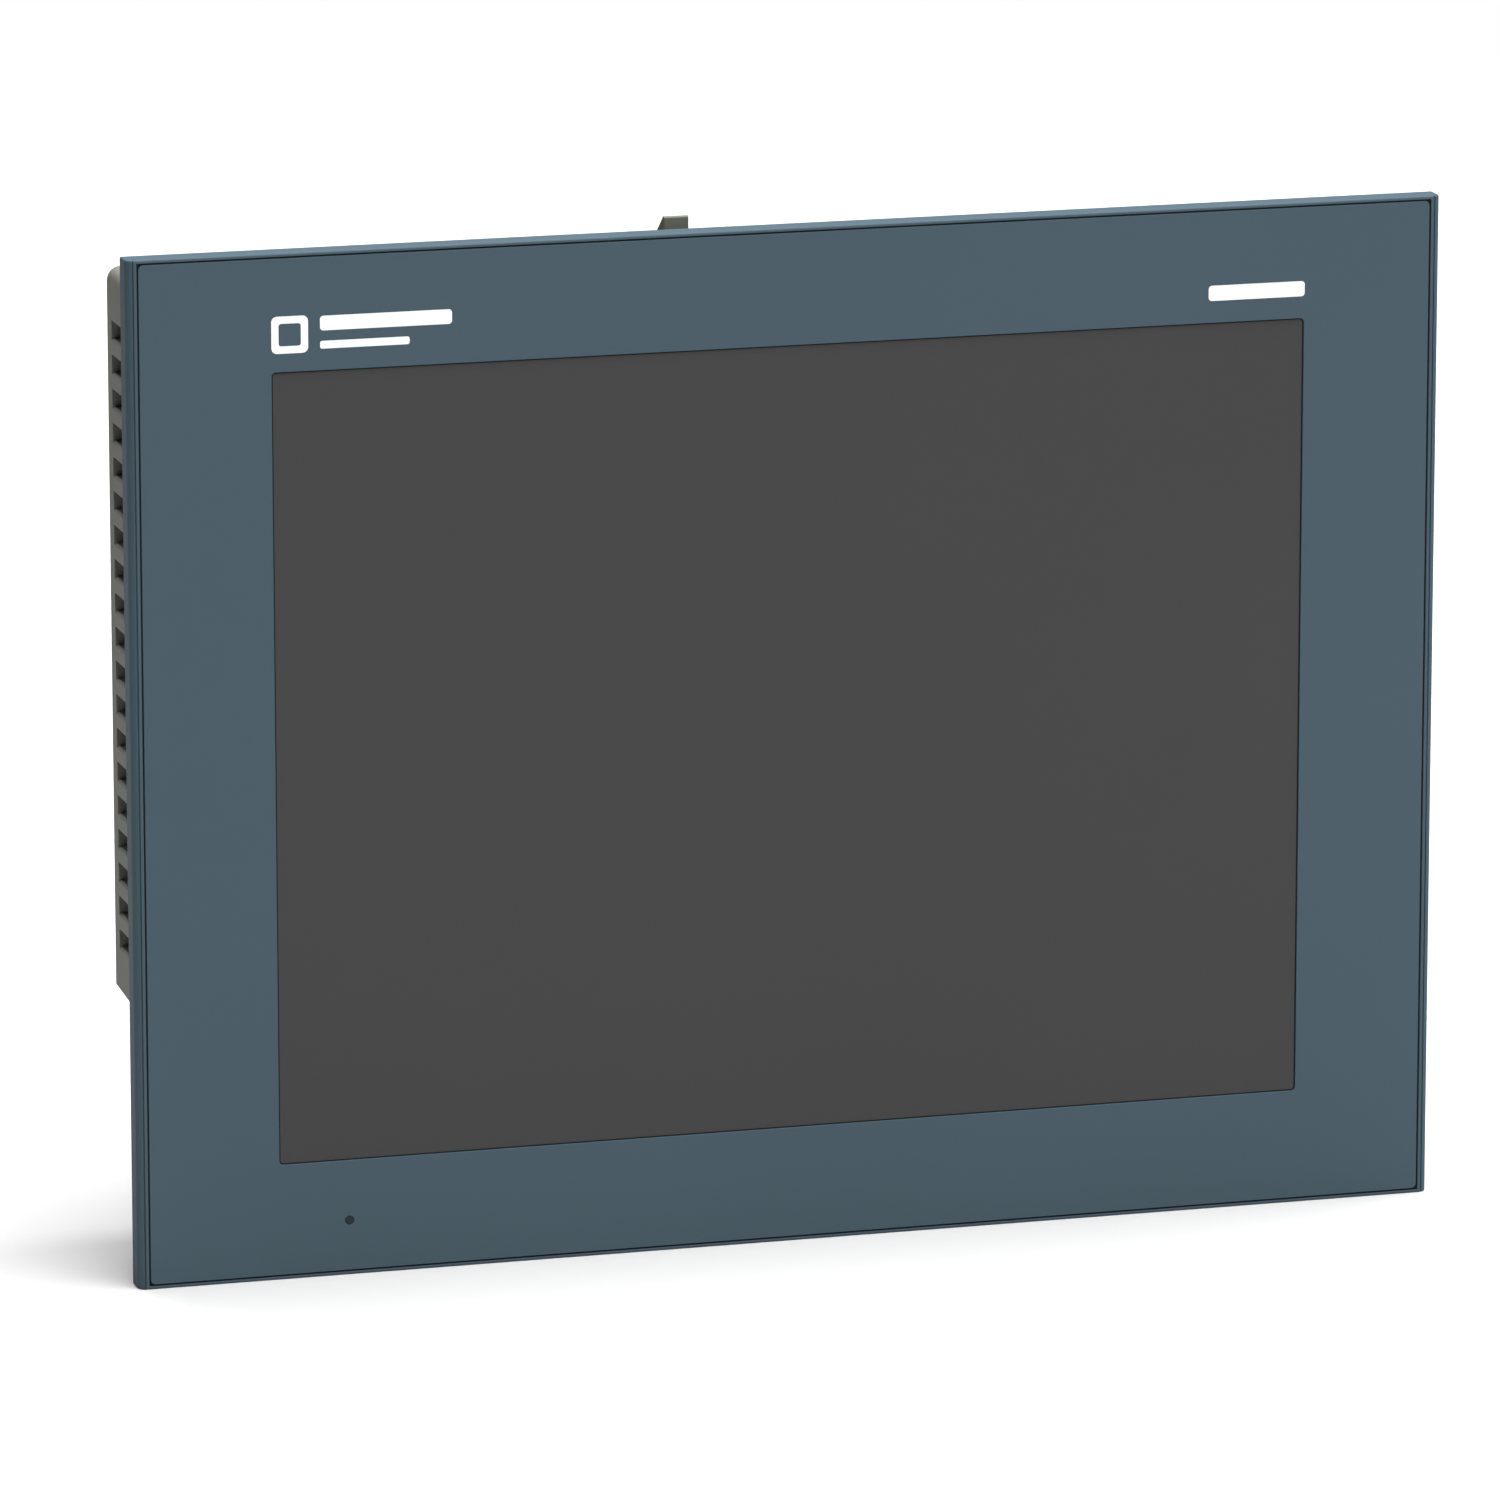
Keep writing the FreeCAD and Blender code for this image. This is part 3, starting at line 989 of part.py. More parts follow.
def cut_rear_openings(body):
    cut(body, "XZ_Plane", "deep_rear - cover_step", "deep_rear",
        square("0", "expansion_z", "cover_half_width", "cover_half_height"))
    cut(body, "XZ_Plane", "deep_rear - wall", "deep_rear",
        square("0", "expansion_z", "(cover_half_width - 2 * cover_ledge)",
               "(cover_half_height - cover_ledge)"))
    cut(body, "XZ_Plane", "deep_rear - wall", "deep_rear",
        *[circle(x, "expansion_z", "small_screw_radius + thread_gap")
          for x in ("cover_screw_x", "-cover_screw_x")])
    cut(body, "XZ_Plane", "low_rear - wall", "low_rear",
        rectangle("terminal_x - terminal_half - socket_gap", "terminal_bottom - socket_gap",
                  "terminal_x + terminal_half + socket_gap", "terminal_top + socket_gap"))
    add(body, "XZ_Plane", "earth_boss_front", "low_rear - wall",
        circle("earth_x", "earth_z", "2 * earth_radius"))
    cut(body, "XZ_Plane", "earth_boss_front", "low_rear",
        circle("earth_x", "earth_z", "earth_radius + thread_gap"))


def cut_door_opening(body):
    high = "card_z + door_half_height + door_gap"
    low = "card_z - door_half_height - door_gap"
    cut(body, "XY_Plane", low, high,
        rectangle("skirt_width / 2 - wall", "door_front - door_gap", "skirt_width / 2",
                  "door_opening_rear"))
    cut(body, "XY_Plane", f"{low} - door_pin_engagement", f"{high} + door_pin_engagement",
        circle("door_pin_x", "door_pin_y", "door_pin_radius"))


def hook_seat(body):
    """Slot for the hook, two ribs that hold its pin, and the shelf under its spring."""
    cut(body, "XY_Plane", "deep_top - wall", "skirt_height / 2",
        rectangle("hook_x - hook_slot_half", "hook_slot_front", "hook_x + hook_slot_half",
                  "hook_slot_rear"))
    outer = "rib_gap + rib_thickness"
    for start, end in ((f"hook_x - ({outer})", "hook_x - rib_gap"),
                       ("hook_x + rib_gap", f"hook_x + {outer}")):
        add(body, "YZ_Plane", start, end,
            rectangle("rib_front", "shelf_bottom", "deep_rear - wall + rib_overlap",
                      "deep_top - wall + rib_overlap"))
        cut(body, "YZ_Plane", start, end, circle("hinge_y", "hinge_z", "hook_pin_radius"))
    add(body, "XY_Plane", "shelf_bottom", "shelf_top",
        rectangle(f"hook_x - ({outer})", "shelf_front", f"hook_x + {outer}",
                  "deep_rear - wall + rib_overlap"))


def earth_screw_and_label():
    seat = "low_rear + earth_washer_thickness"
    screw = screws("earth_screw", seat, "earth_radius", "earth_head_radius",
                   "earth_head_height", "earth_boss_front + hole_spare", [("earth_x", "earth_z")])
    add(screw, "XZ_Plane", "low_rear", seat,
        circle("earth_x", "earth_z", "earth_washer_radius"))
    label = plate("rating_label", "XZ_Plane", "low_rear - label_thickness", "low_rear",
                  square("plate_label_x", "plate_label_z", "plate_label_half_width",
                         "plate_label_half_height"))
    dress(label, "Fillet", "label_radius", lambda edge, at: runs_along(edge, "y"))


def check_document():
    """Stop before anything is written if a feature failed or a shape is unusable."""
    for item in DOC.Objects:
        if {"Invalid", "Error"} & set(item.State):
            raise RuntimeError(f"{item.Label} failed: {item.State}")
    for body in PARTS:
        if body.Shape.isNull() or not body.Shape.isValid() or not body.Shape.Solids:
            raise RuntimeError(f"{body.Label} has no valid solid")


def main():
    bezel_frame()
    front_overlay()
    touch_sensor()
    display_module()
    status_lamp()
    panel_gasket()
    chassis()
    main_board()
    processor_group()
    power_parts()
    clock_battery()
    serial_port()
    modular_jacks()
    usb_ports()
    reset_button()
    expansion_parts()
    card_socket_and_door()
    terminal_block()
    hook()
    rear_cover()
    earth_screw_and_label()
    DOC.recompute()
    check_document()
    os.makedirs("parts", exist_ok=True)
    for body in PARTS:
        body.Shape.exportStep(f"parts/{body.Label}.step")


main()
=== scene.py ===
import bpy
import bmesh
import json
import math
import random
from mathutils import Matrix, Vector
from mathutils.bvhtree import BVHTree


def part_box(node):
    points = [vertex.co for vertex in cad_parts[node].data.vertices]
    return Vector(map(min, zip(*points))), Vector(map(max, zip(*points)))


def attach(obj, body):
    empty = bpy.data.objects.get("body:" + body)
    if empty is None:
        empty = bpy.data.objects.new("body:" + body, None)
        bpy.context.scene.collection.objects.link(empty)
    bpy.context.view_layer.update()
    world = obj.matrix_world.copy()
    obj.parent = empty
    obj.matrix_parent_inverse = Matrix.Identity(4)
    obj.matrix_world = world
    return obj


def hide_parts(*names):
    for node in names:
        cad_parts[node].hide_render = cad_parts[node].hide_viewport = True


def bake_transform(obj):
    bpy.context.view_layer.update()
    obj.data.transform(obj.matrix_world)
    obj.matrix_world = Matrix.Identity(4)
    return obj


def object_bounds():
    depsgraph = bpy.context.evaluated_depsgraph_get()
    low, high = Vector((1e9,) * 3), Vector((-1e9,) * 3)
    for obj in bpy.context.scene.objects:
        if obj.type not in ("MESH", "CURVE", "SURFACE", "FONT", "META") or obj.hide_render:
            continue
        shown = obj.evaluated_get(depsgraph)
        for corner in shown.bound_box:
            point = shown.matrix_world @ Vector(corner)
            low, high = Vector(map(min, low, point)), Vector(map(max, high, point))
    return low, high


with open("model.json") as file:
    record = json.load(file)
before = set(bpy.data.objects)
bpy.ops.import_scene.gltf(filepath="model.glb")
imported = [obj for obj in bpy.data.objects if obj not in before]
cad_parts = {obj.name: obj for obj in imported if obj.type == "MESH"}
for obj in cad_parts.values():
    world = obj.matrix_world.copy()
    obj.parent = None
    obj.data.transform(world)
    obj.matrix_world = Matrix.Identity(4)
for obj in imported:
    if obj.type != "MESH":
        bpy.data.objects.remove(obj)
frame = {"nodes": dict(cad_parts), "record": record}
CAD_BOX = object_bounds()
NODES = frame["nodes"]
MM = 0.001


def box_mm(node):
    """Opposite corners of a CAD node's box, in millimetres."""
    low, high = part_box(node)
    return tuple(value / MM for value in low), tuple(value / MM for value in high)


def middle_of(node):
    """Middle of a CAD node's box, in millimetres."""
    low, high = box_mm(node)
    return tuple((a + b) / 2 for a, b in zip(low, high))


# ---------------------------------------------------------------- sizes, in millimetres

WINDOW = (247.8, 186.2)         # screen opening in the overlay
WINDOW_RADIUS = 1.0
POCKET = (310.1, 239.55)        # recess in the bezel that holds the overlay
OVERLAY_GAP = 0.4               # dark gap between the recess and the overlay
OVERLAY = tuple(size - 2 * OVERLAY_GAP for size in POCKET)
OVERLAY_RADIUS = 1.2
FRONT = box_mm("bezel_frame")[0][1]
OVERLAY_BACK = box_mm("front_overlay")[1][1]
INK = 0.012                     # thickness of the print on the overlay
REAR_INK = 0.02                 # thickness of the prints on the back
LAMP_RADIUS = 1.05              # hole in the film over the status lamp
BOARD_REAR = box_mm("main_board")[1][1]

NETWORK_JACKS = ("lan_port_1", "lan_port_2")
MODULAR_JACKS = ("serial_jack", *NETWORK_JACKS)
SERIAL_MIDDLE = (-105.5, 33.0)  # middle of the nine-pin shell, across and back
HOST_HALF = 7.0                 # half the width of one universal serial host port
UNDERSIDE = ((28.0, -62.1), (49.0, -60.6))  # front and rear edges of the sloping underside

# ---------------------------------------------------------------- stage, in metres

FLOOR_LOW, FLOOR_HIGH = (-1.3, -1.8), (2.2, 1.6)
AREA_LIGHTS = (                 # name, place, target, size, watts
    ("overhead", (1.0, -0.7, 5.0), (1.0, -0.7, 0), (4.2, 4.2), 790),
    ("front_soft", (0.9, -3.4, 1.0), (0, 0, 0), (2.4, 2.4), 45),
    ("back_wash", (-0.2, 2.7, 3.5), (-0.2, 2.0, 0), (3.5, 2.5), 130),
)
SURROUND_LIGHT = 0.05
CAMERA_PLACE = (-0.68169, -2.32540, 0.54399)
CAMERA_AIM = (0.27114, 0.93692, -0.22058)
CAMERA_LENS = 255.94


# ---------------------------------------------------------------- material building

def new_material(name, color, roughness, specular=0.5, metallic=0.0):
    material = bpy.data.materials.new(name)
    material.use_nodes = True
    shader = material.node_tree.nodes["Principled BSDF"]
    shader.inputs["Base Color"].default_value = (*color, 1)
    shader.inputs["Roughness"].default_value = roughness
    shader.inputs["Specular IOR Level"].default_value = specular
    shader.inputs["Metallic"].default_value = metallic
    material.diffuse_color = (*color, 1)
    return material, shader


def add_node(material, kind, **settings):
    node = material.node_tree.nodes.new(kind)
    for key, value in settings.items():
        setattr(node, key, value)
    return node


def link(material, source, target):
    material.node_tree.links.new(source, target)


def place(material, stretch=(1, 1, 1)):
    """Object coordinates, stretched to draw grain out along an axis."""
    coords = add_node(material, "ShaderNodeTexCoord")
    mapping = add_node(material, "ShaderNodeMapping")
    mapping.inputs["Scale"].default_value = stretch
    link(material, coords.outputs["Object"], mapping.inputs["Vector"])
    return mapping.outputs["Vector"]


def noise(material, vector, size_mm, detail=3.0, rough=0.55):
    """Noise whose features are about the given size."""
    node = add_node(material, "ShaderNodeTexNoise")
    node.inputs["Scale"].default_value = 1 / (size_mm * MM)
    node.inputs["Detail"].default_value = detail
    node.inputs["Roughness"].default_value = rough
    link(material, vector, node.inputs["Vector"])
    return node.outputs["Fac"]


def ramp(material, factor, start, first, end, second):
    """The first colour up to start, the second from end on, and a blend in between."""
    node = add_node(material, "ShaderNodeValToRGB")
    stops = ((start, first), (end, second))
    for element, (position, color) in zip(node.color_ramp.elements, stops):
        element.position = position
        element.color = (*color, 1)
    link(material, factor, node.inputs["Fac"])
    return node.outputs["Color"]


def spread(material, factor, low, high):
    """Map 0..1 to a range of values."""
    node = add_node(material, "ShaderNodeMapRange")
    node.inputs["To Min"].default_value = low
    node.inputs["To Max"].default_value = high
    link(material, factor, node.inputs["Value"])
    return node.outputs["Result"]


def mix(material, factor, first, second):
    """Blend of two colours, each a constant or the output of a node."""
    node = add_node(material, "ShaderNodeMix", data_type="RGBA")
    link(material, factor, node.inputs["Factor"])
    ends = [socket for socket in node.inputs if socket.type == "RGBA"]
    for socket, value in zip(ends, (first, second)):
        if isinstance(value, tuple):
            socket.default_value = (*value, 1)
        else:
            link(material, value, socket)
    return [socket for socket in node.outputs if socket.type == "RGBA"][0]


def shade(color, amount):
    return tuple(max(0.0, min(1.0, channel * amount)) for channel in color)


def rubbed_and_highlit_edges(material, color, worn_and_highlit, strength, reach_mm=0.35):
    """Blend towards a paler colour at outer edges, where the piece is thin under the surface:
    rubbed wear and a painted edge highlight.
    """
    inside = add_node(material, "ShaderNodeAmbientOcclusion", samples=4, inside=True,
                      only_local=True)
    inside.inputs["Distance"].default_value = reach_mm * MM
    band = add_node(material, "ShaderNodeMapRange")
    band.inputs["From Min"].default_value = 0.95
    band.inputs["From Max"].default_value = 0.55
    band.inputs["To Max"].default_value = strength
    link(material, inside.outputs["AO"], band.inputs["Value"])
    return mix(material, band.outputs["Result"], color, worn_and_highlit)


def bump(material, shader, height, depth_mm, edge_mm=0.0):
    """Surface relief, over edges that catch the light as if rounded by edge_mm."""
    node = add_node(material, "ShaderNodeBump")
    if edge_mm:
        rounded = add_node(material, "ShaderNodeBevel", samples=4)
        rounded.inputs["Radius"].default_value = edge_mm * MM
        link(material, rounded.outputs["Normal"], node.inputs["Normal"])
    node.inputs["Strength"].default_value = 1.0
    node.inputs["Distance"].default_value = depth_mm * MM
    link(material, height, node.inputs["Height"])
    link(material, node.outputs["Normal"], shader.inputs["Normal"])


def moulded(name, color, roughness=0.55, specular=0.35, grain=0.35, depth=0.02, vary=0.05,
            edge_wear_and_highlight=0.25):
    """Moulded plastic: spark-eroded grain, slight colour drift, rubbed edges with a painted edge
    highlight.
    """
    material, shader = new_material(name, color, roughness, specular)
    vector = place(material)
    drift = noise(material, vector, 38, 2)
    tone = ramp(material, drift, 0.3, shade(color, 1 - vary), 0.7, shade(color, 1 + vary))
    speck = noise(material, vector, 0.9, 2)
    speckled = mix(material, spread(material, speck, 0, 0.12), tone, shade(color, 1.25))
    # paler outer edges: rubbed wear and a painted edge highlight
    worn_and_highlit = rubbed_and_highlit_edges(material, speckled, shade(color, 1.45), edge_wear_and_highlight)
    link(material, worn_and_highlit, shader.inputs["Base Color"])
    grain_height = noise(material, vector, grain, 4, 0.6)
    link(material, spread(material, grain_height, roughness - 0.06, roughness + 0.08),
         shader.inputs["Roughness"])
    bump(material, shader, grain_height, depth, 0.25)
    return material


def painted(name, color, roughness=0.6, specular=0.1, depth=0.006, edge_wear_and_highlight=0.12):
    """Satin paint: very fine orange peel and slightly paler edges, rubbed wear with a painted edge
    highlight.
    """
    material, shader = new_material(name, color, roughness, specular)
    vector = place(material)
    drift = noise(material, vector, 60, 2)
    tone = ramp(material, drift, 0.3, shade(color, 0.985), 0.7, shade(color, 1.015))
    # paler outer edges: rubbed wear and a painted edge highlight
    link(material, rubbed_and_highlit_edges(material, tone, shade(color, 1.3), edge_wear_and_highlight),
         shader.inputs["Base Color"])
    peel = noise(material, vector, 0.6, 3)
    link(material, spread(material, peel, roughness - 0.03, roughness + 0.04),
         shader.inputs["Roughness"])
    bump(material, shader, peel, depth, 0.2)
    return material


def printed_film(name, color, roughness=0.6, specular=0.12, weave=0.12):
    """Matte polyester film: a velvety micro texture over flat ink."""
    material, shader = new_material(name, color, roughness, specular)
    vector = place(material)
    drift = noise(material, vector, 90, 1)
    tone = ramp(material, drift, 0.35, shade(color, 0.99), 0.65, shade(color, 1.01))
    fine = noise(material, vector, weave, 2)
    link(material, mix(material, spread(material, fine, 0, 0.05), tone, shade(color, 1.2)),
         shader.inputs["Base Color"])
    link(material, spread(material, fine, roughness - 0.04, roughness + 0.04),
         shader.inputs["Roughness"])
    bump(material, shader, fine, 0.003)
    return material


def brushed(name, color, roughness=0.32, along=(1, 1, 1), depth=0.002):
    """Rolled or plated sheet metal with grain drawn out along one axis."""
    material, shader = new_material(name, color, roughness, 0.5, 1.0)
    vector = place(material, along)
    streak = noise(material, vector, 1.6, 4)
    tone = ramp(material, streak, 0.25, shade(color, 0.86), 0.75, shade(color, 1.08))
    # paler outer edges: rubbed wear and a painted edge highlight
    link(material, rubbed_and_highlit_edges(material, tone, shade(color, 1.25), 0.3),
         shader.inputs["Base Color"])
    link(material, spread(material, streak, roughness - 0.08, roughness + 0.12),
         shader.inputs["Roughness"])
    bump(material, shader, streak, depth, 0.12)
    return material


def rubber(name, color):
    material, shader = new_material(name, color, 0.8, 0.2)
    vector = place(material)
    pores = noise(material, vector, 0.5, 5, 0.65)
    link(material, ramp(material, pores, 0.3, shade(color, 0.7), 0.7, shade(color, 1.3)),
         shader.inputs["Base Color"])
    link(material, spread(material, pores, 0.72, 0.9), shader.inputs["Roughness"])
    bump(material, shader, pores, 0.03)
    return material


def clear_sheet(name, color, roughness, transmission):
    """Glass or acrylic with faint surface haze."""
    material, shader = new_material(name, color, roughness, 0.5)
    shader.inputs["Transmission Weight"].default_value = transmission
    shader.inputs["IOR"].default_value = 1.49
    vector = place(material)
    haze = noise(material, vector, 12, 3)
    link(material, ramp(material, haze, 0.3, shade(color, 0.96), 0.7, shade(color, 1.02)),
         shader.inputs["Base Color"])
    link(material, spread(material, haze, roughness * 0.8, roughness * 1.3),
         shader.inputs["Roughness"])
    bump(material, shader, haze, 0.001)
    return material


def circuit_board(name, mask, copper):
    """Solder mask with the raised lines of the copper under it."""
    track_length, track_pitch, track_width = 9, 1.27, 0.22
    black, white, between_tracks = (0, 0, 0), (1, 1, 1), (0.12, 0.12, 0.12)
    material, shader = new_material(name, mask, 0.35, 0.5)
    vector = place(material)
    cells = add_node(material, "ShaderNodeTexBrick")
    cells.inputs["Scale"].default_value = 1
    cells.inputs["Brick Width"].default_value = track_length * MM
    cells.inputs["Row Height"].default_value = track_pitch * MM
    cells.inputs["Mortar Size"].default_value = track_width * MM
    cells.inputs["Color1"].default_value = (*black, 1)
    cells.inputs["Color2"].default_value = (*between_tracks, 1)
    cells.inputs["Mortar"].default_value = (*white, 1)
    turn = add_node(material, "ShaderNodeMapping")
    turn.inputs["Rotation"].default_value = (math.radians(90), 0, 0)
    link(material, vector, turn.inputs["Vector"])
    link(material, turn.outputs["Vector"], cells.inputs["Vector"])
    patches = noise(material, vector, 16, 1)
    where = ramp(material, patches, 0.42, black, 0.5, white)
    lines = add_node(material, "ShaderNodeMath", operation="MULTIPLY")
    link(material, cells.outputs["Color"], lines.inputs[0])
    link(material, where, lines.inputs[1])
    link(material, mix(material, lines.outputs["Value"], mask, copper),
         shader.inputs["Base Color"])
    link(material, spread(material, patches, 0.28, 0.42), shader.inputs["Roughness"])
    bump(material, shader, lines.outputs["Value"], 0.04)
    return material


# ---------------------------------------------------------------- materials of the CAD slots

SLATE = (0.0490, 0.0780, 0.0980)
SCREEN_GREY = (0.0435, 0.0435, 0.0435)
HOUSING_GREY = (0.142, 0.147, 0.127)
HOOK_GREY = (0.131, 0.138, 0.111)

MATERIALS = {
    "bezel": painted("bezel_paint", SLATE),
    "overlay": printed_film("overlay_film", SLATE),
    "screen": printed_film("touch_film_matte", SCREEN_GREY, weave=0.16),
    "clear_glass": clear_sheet("sensor_glass", (0.86, 0.90, 0.91), 0.06, 0.9),
    "foam": rubber("foam_black", (0.022, 0.022, 0.023)),
    "gasket_rubber": rubber("gasket_black", (0.018, 0.018, 0.018)),
    "plated_steel": brushed("zinc_sheet", (0.56, 0.57, 0.58), 0.38, along=(1, 1, 14)),
    "cell_glass": clear_sheet("cell_glass_dark", (0.055, 0.055, 0.062), 0.08, 0.15),
    "white_film": printed_film("white_diffuser", (0.84, 0.85, 0.86), 0.6, 0.3, weave=0.3),
    "acrylic": clear_sheet("light_guide_acrylic", (0.90, 0.93, 0.94), 0.05, 0.85),
    "led_strip": moulded("lamp_strip_white", (0.80, 0.80, 0.75), 0.4, 0.4,
                         grain=0.5, depth=0.005, vary=0.03),
    "black_plastic": moulded("black_moulding", (0.022, 0.022, 0.024), 0.45, 0.4,
                             grain=0.3, depth=0.01),
    "flat_cable": printed_film("amber_film", (0.36, 0.17, 0.035), 0.35, 0.5, weave=0.8),
    "lamp_plastic": moulded("lamp_smoked", (0.016, 0.021, 0.024), 0.4, 0.1,
                            grain=0.3, depth=0.002, vary=0.03, edge_wear_and_highlight=0.0),
    "housing": moulded("housing_plastic", HOUSING_GREY, 0.65, 0.12,
                       grain=0.45, depth=0.03, vary=0.03, edge_wear_and_highlight=0.18),
    "hook_plastic": moulded("hook_plastic", HOOK_GREY, 0.6, 0.12,
                            grain=0.4, depth=0.015, vary=0.04, edge_wear_and_highlight=0.1),
    "screw_steel": brushed("screw_zinc", (0.55, 0.55, 0.54), 0.3),
    "brass": brushed("turned_brass", (0.60, 0.43, 0.17), 0.28),
    "board": circuit_board("solder_mask", (0.012, 0.075, 0.034), (0.03, 0.16, 0.07)),
    "chip": moulded("chip_epoxy", (0.020, 0.020, 0.021), 0.5, 0.4, grain=0.25, depth=0.006),
    "sink": brushed("anodised_fins", (0.20, 0.205, 0.21), 0.42, along=(1, 1, 10)),
    "can": brushed("capacitor_can", (0.66, 0.67, 0.68), 0.3, along=(1, 10, 1)),
    "ferrite": moulded("ferrite", (0.045, 0.045, 0.048), 0.6, 0.3, grain=0.4, depth=0.03),
    "battery_steel": brushed("battery_can", (0.66, 0.66, 0.65), 0.25, along=(8, 1, 1)),
    "socket_steel": brushed("socket_shell", (0.60, 0.60, 0.59), 0.3, along=(1, 8, 1)),
    "terminal_green": moulded("terminal_green", (0.020, 0.125, 0.045), 0.45, 0.4,
                              grain=0.4, depth=0.015),
    "spring_steel": brushed("spring_wire", (0.60, 0.61, 0.63), 0.22),
    "label": brushed("label_film", (0.55, 0.56, 0.56), 0.4, along=(12, 1, 1), depth=0.001),
    "button_plastic": moulded("button_plastic", (0.30, 0.045, 0.02), 0.45, 0.4,
                              grain=0.3, depth=0.008),
}
WHITE_INK = printed_film("white_ink", (0.80, 0.80, 0.80), 0.5, 0.3, weave=0.2)
DARK_INK = printed_film("dark_ink", (0.03, 0.03, 0.032), 0.5, 0.3, weave=0.2)
# near-black rubber-look sheet, used as painted shade in the gap round the film and along the
# window edge
PAINTED_SHADE_BLACK = rubber("gap_painted_shade", (0.004, 0.006, 0.008))
GOLD = brushed("contact_gold", (0.75, 0.52, 0.18), 0.25)
LAMP_GREEN = clear_sheet("lamp_green", (0.05, 0.30, 0.07), 0.2, 0.3)
LAMP_AMBER = clear_sheet("lamp_amber", (0.45, 0.20, 0.03), 0.2, 0.3)
CERAMIC = moulded("ceramic", (0.32, 0.22, 0.13), 0.4, 0.4, grain=0.2, depth=0.004)


# ---------------------------------------------------------------- mesh building

def finish_mesh(name, mesh_data, material, body, smooth=False):
    """Turn a bmesh into a piece that rides on a body, or on none yet if body is None."""
    bmesh.ops.remove_doubles(mesh_data, verts=mesh_data.verts, dist=1e-7)
    bmesh.ops.recalc_face_normals(mesh_data, faces=mesh_data.faces)
    mesh = bpy.data.meshes.new(name)
    mesh_data.to_mesh(mesh)
    mesh_data.free()
    piece = bpy.data.objects.new(name, mesh)
    bpy.context.scene.collection.objects.link(piece)
    mesh.materials.append(material)
    for polygon in mesh.polygons:
        polygon.use_smooth = smooth
    if body is not None:
        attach(piece, body)
    return piece


def soften(piece, width_mm):
    bevel = piece.modifiers.new("soft_edges", "BEVEL")
    bevel.width = width_mm * MM
    bevel.segments = 2
    bevel.limit_method = "ANGLE"
    bevel.angle_limit = math.radians(35)


def spaced(middle, count, pitch):
    """Positions of a row of equal steps about its middle."""
    return [middle + (number - (count - 1) / 2) * pitch for number in range(count)]


def rounded_rectangle(width, height, radius, centre=(0, 0), steps=8):
    """Corner points of a rounded rectangle in the XZ plane, in millimetres."""
    points = []
    for turn, (sx, sz) in enumerate(((1, 1), (-1, 1), (-1, -1), (1, -1))):
        cx = centre[0] + sx * (width / 2 - radius)
        cz = centre[1] + sz * (height / 2 - radius)
        for step in range(steps + 1):
            angle = math.radians(90 * turn + 90 * step / steps)
            points.append((cx + radius * math.cos(angle), cz + radius * math.sin(angle)))
    return points


def circle_points(centre, radius, steps=32):
    return [(centre[0] + radius * math.cos(math.tau * step / steps),
             centre[1] + radius * math.sin(math.tau * step / steps)) for step in range(steps)]


def add_sheet(mesh_data, outer, holes, front, back):
    """A flat sheet in the XZ plane with holes, from y front to y back, in millimetres."""
    edges = []
    for loop in [outer, *holes]:
        corners = [mesh_data.verts.new((x * MM, front * MM, z * MM)) for x, z in loop]
        for index, corner in enumerate(corners):
            edges.append(mesh_data.edges.new((corner, corners[(index + 1) % len(corners)])))
    filled = bmesh.ops.triangle_fill(mesh_data, edges=edges, use_beauty=True, use_dissolve=True)
    faces = [item for item in filled["geom"] if isinstance(item, bmesh.types.BMFace)]
    raised = bmesh.ops.extrude_face_region(mesh_data, geom=faces)
    moved = [item for item in raised["geom"] if isinstance(item, bmesh.types.BMVert)]
    bmesh.ops.translate(mesh_data, verts=moved, vec=(0, (back - front) * MM, 0))


def join_rings(mesh_data, first, second):
    """Side faces between two closed rings of as many vertices."""
    for index in range(len(first)):
        after = (index + 1) % len(first)
        mesh_data.faces.new((first[index], second[index], second[after], first[after]))


def add_prism(mesh_data, first, second):
    """A closed solid between two outlines of as many (x, y, z) points, in millimetres."""
    rings = [[mesh_data.verts.new(tuple(value * MM for value in point)) for point in outline]
             for outline in (first, second)]
    mesh_data.faces.new(rings[0])
    mesh_data.faces.new(reversed(rings[1]))
    join_rings(mesh_data, *rings)


def add_box(mesh_data, low, high, inset=0.0):
    """A box from corner to corner in millimetres, its rear face drawn in by the inset."""
    rings = []
    for y, shrink in ((low[1], 0.0), (high[1], inset)):
        left, right = low[0] + shrink, high[0] - shrink
        bottom, top = low[2] + shrink, high[2] - shrink
        rings.append([(left, y, bottom), (right, y, bottom), (right, y, top), (left, y, top)])
    add_prism(mesh_data, *rings)


def add_bar(mesh_data, start, end, half_x, half_thick):
    """A flat bar in a plane of constant X: start and end are (x, y, z) in millimetres."""
    run = math.hypot(end[1] - start[1], end[2] - start[2])
    side = ((end[2] - start[2]) / run * half_thick, -(end[1] - start[1]) / run * half_thick)
    rings = []
    for x, y, z in (start, end):
        rings.append([(x + a * half_x, y + b * side[0], z + b * side[1])
                      for a, b in ((-1, -1), (1, -1), (1, 1), (-1, 1))])
    add_prism(mesh_data, *rings)


def sheet_piece(name, shapes, front, back, material):
    """A flat piece of the panel made of several outlines, each with its holes."""
    mesh_data = bmesh.new()
    for outer, holes in shapes:
        add_sheet(mesh_data, outer, holes, front, back)
    return finish_mesh(name, mesh_data, material, "panel")


# ---------------------------------------------------------------- front

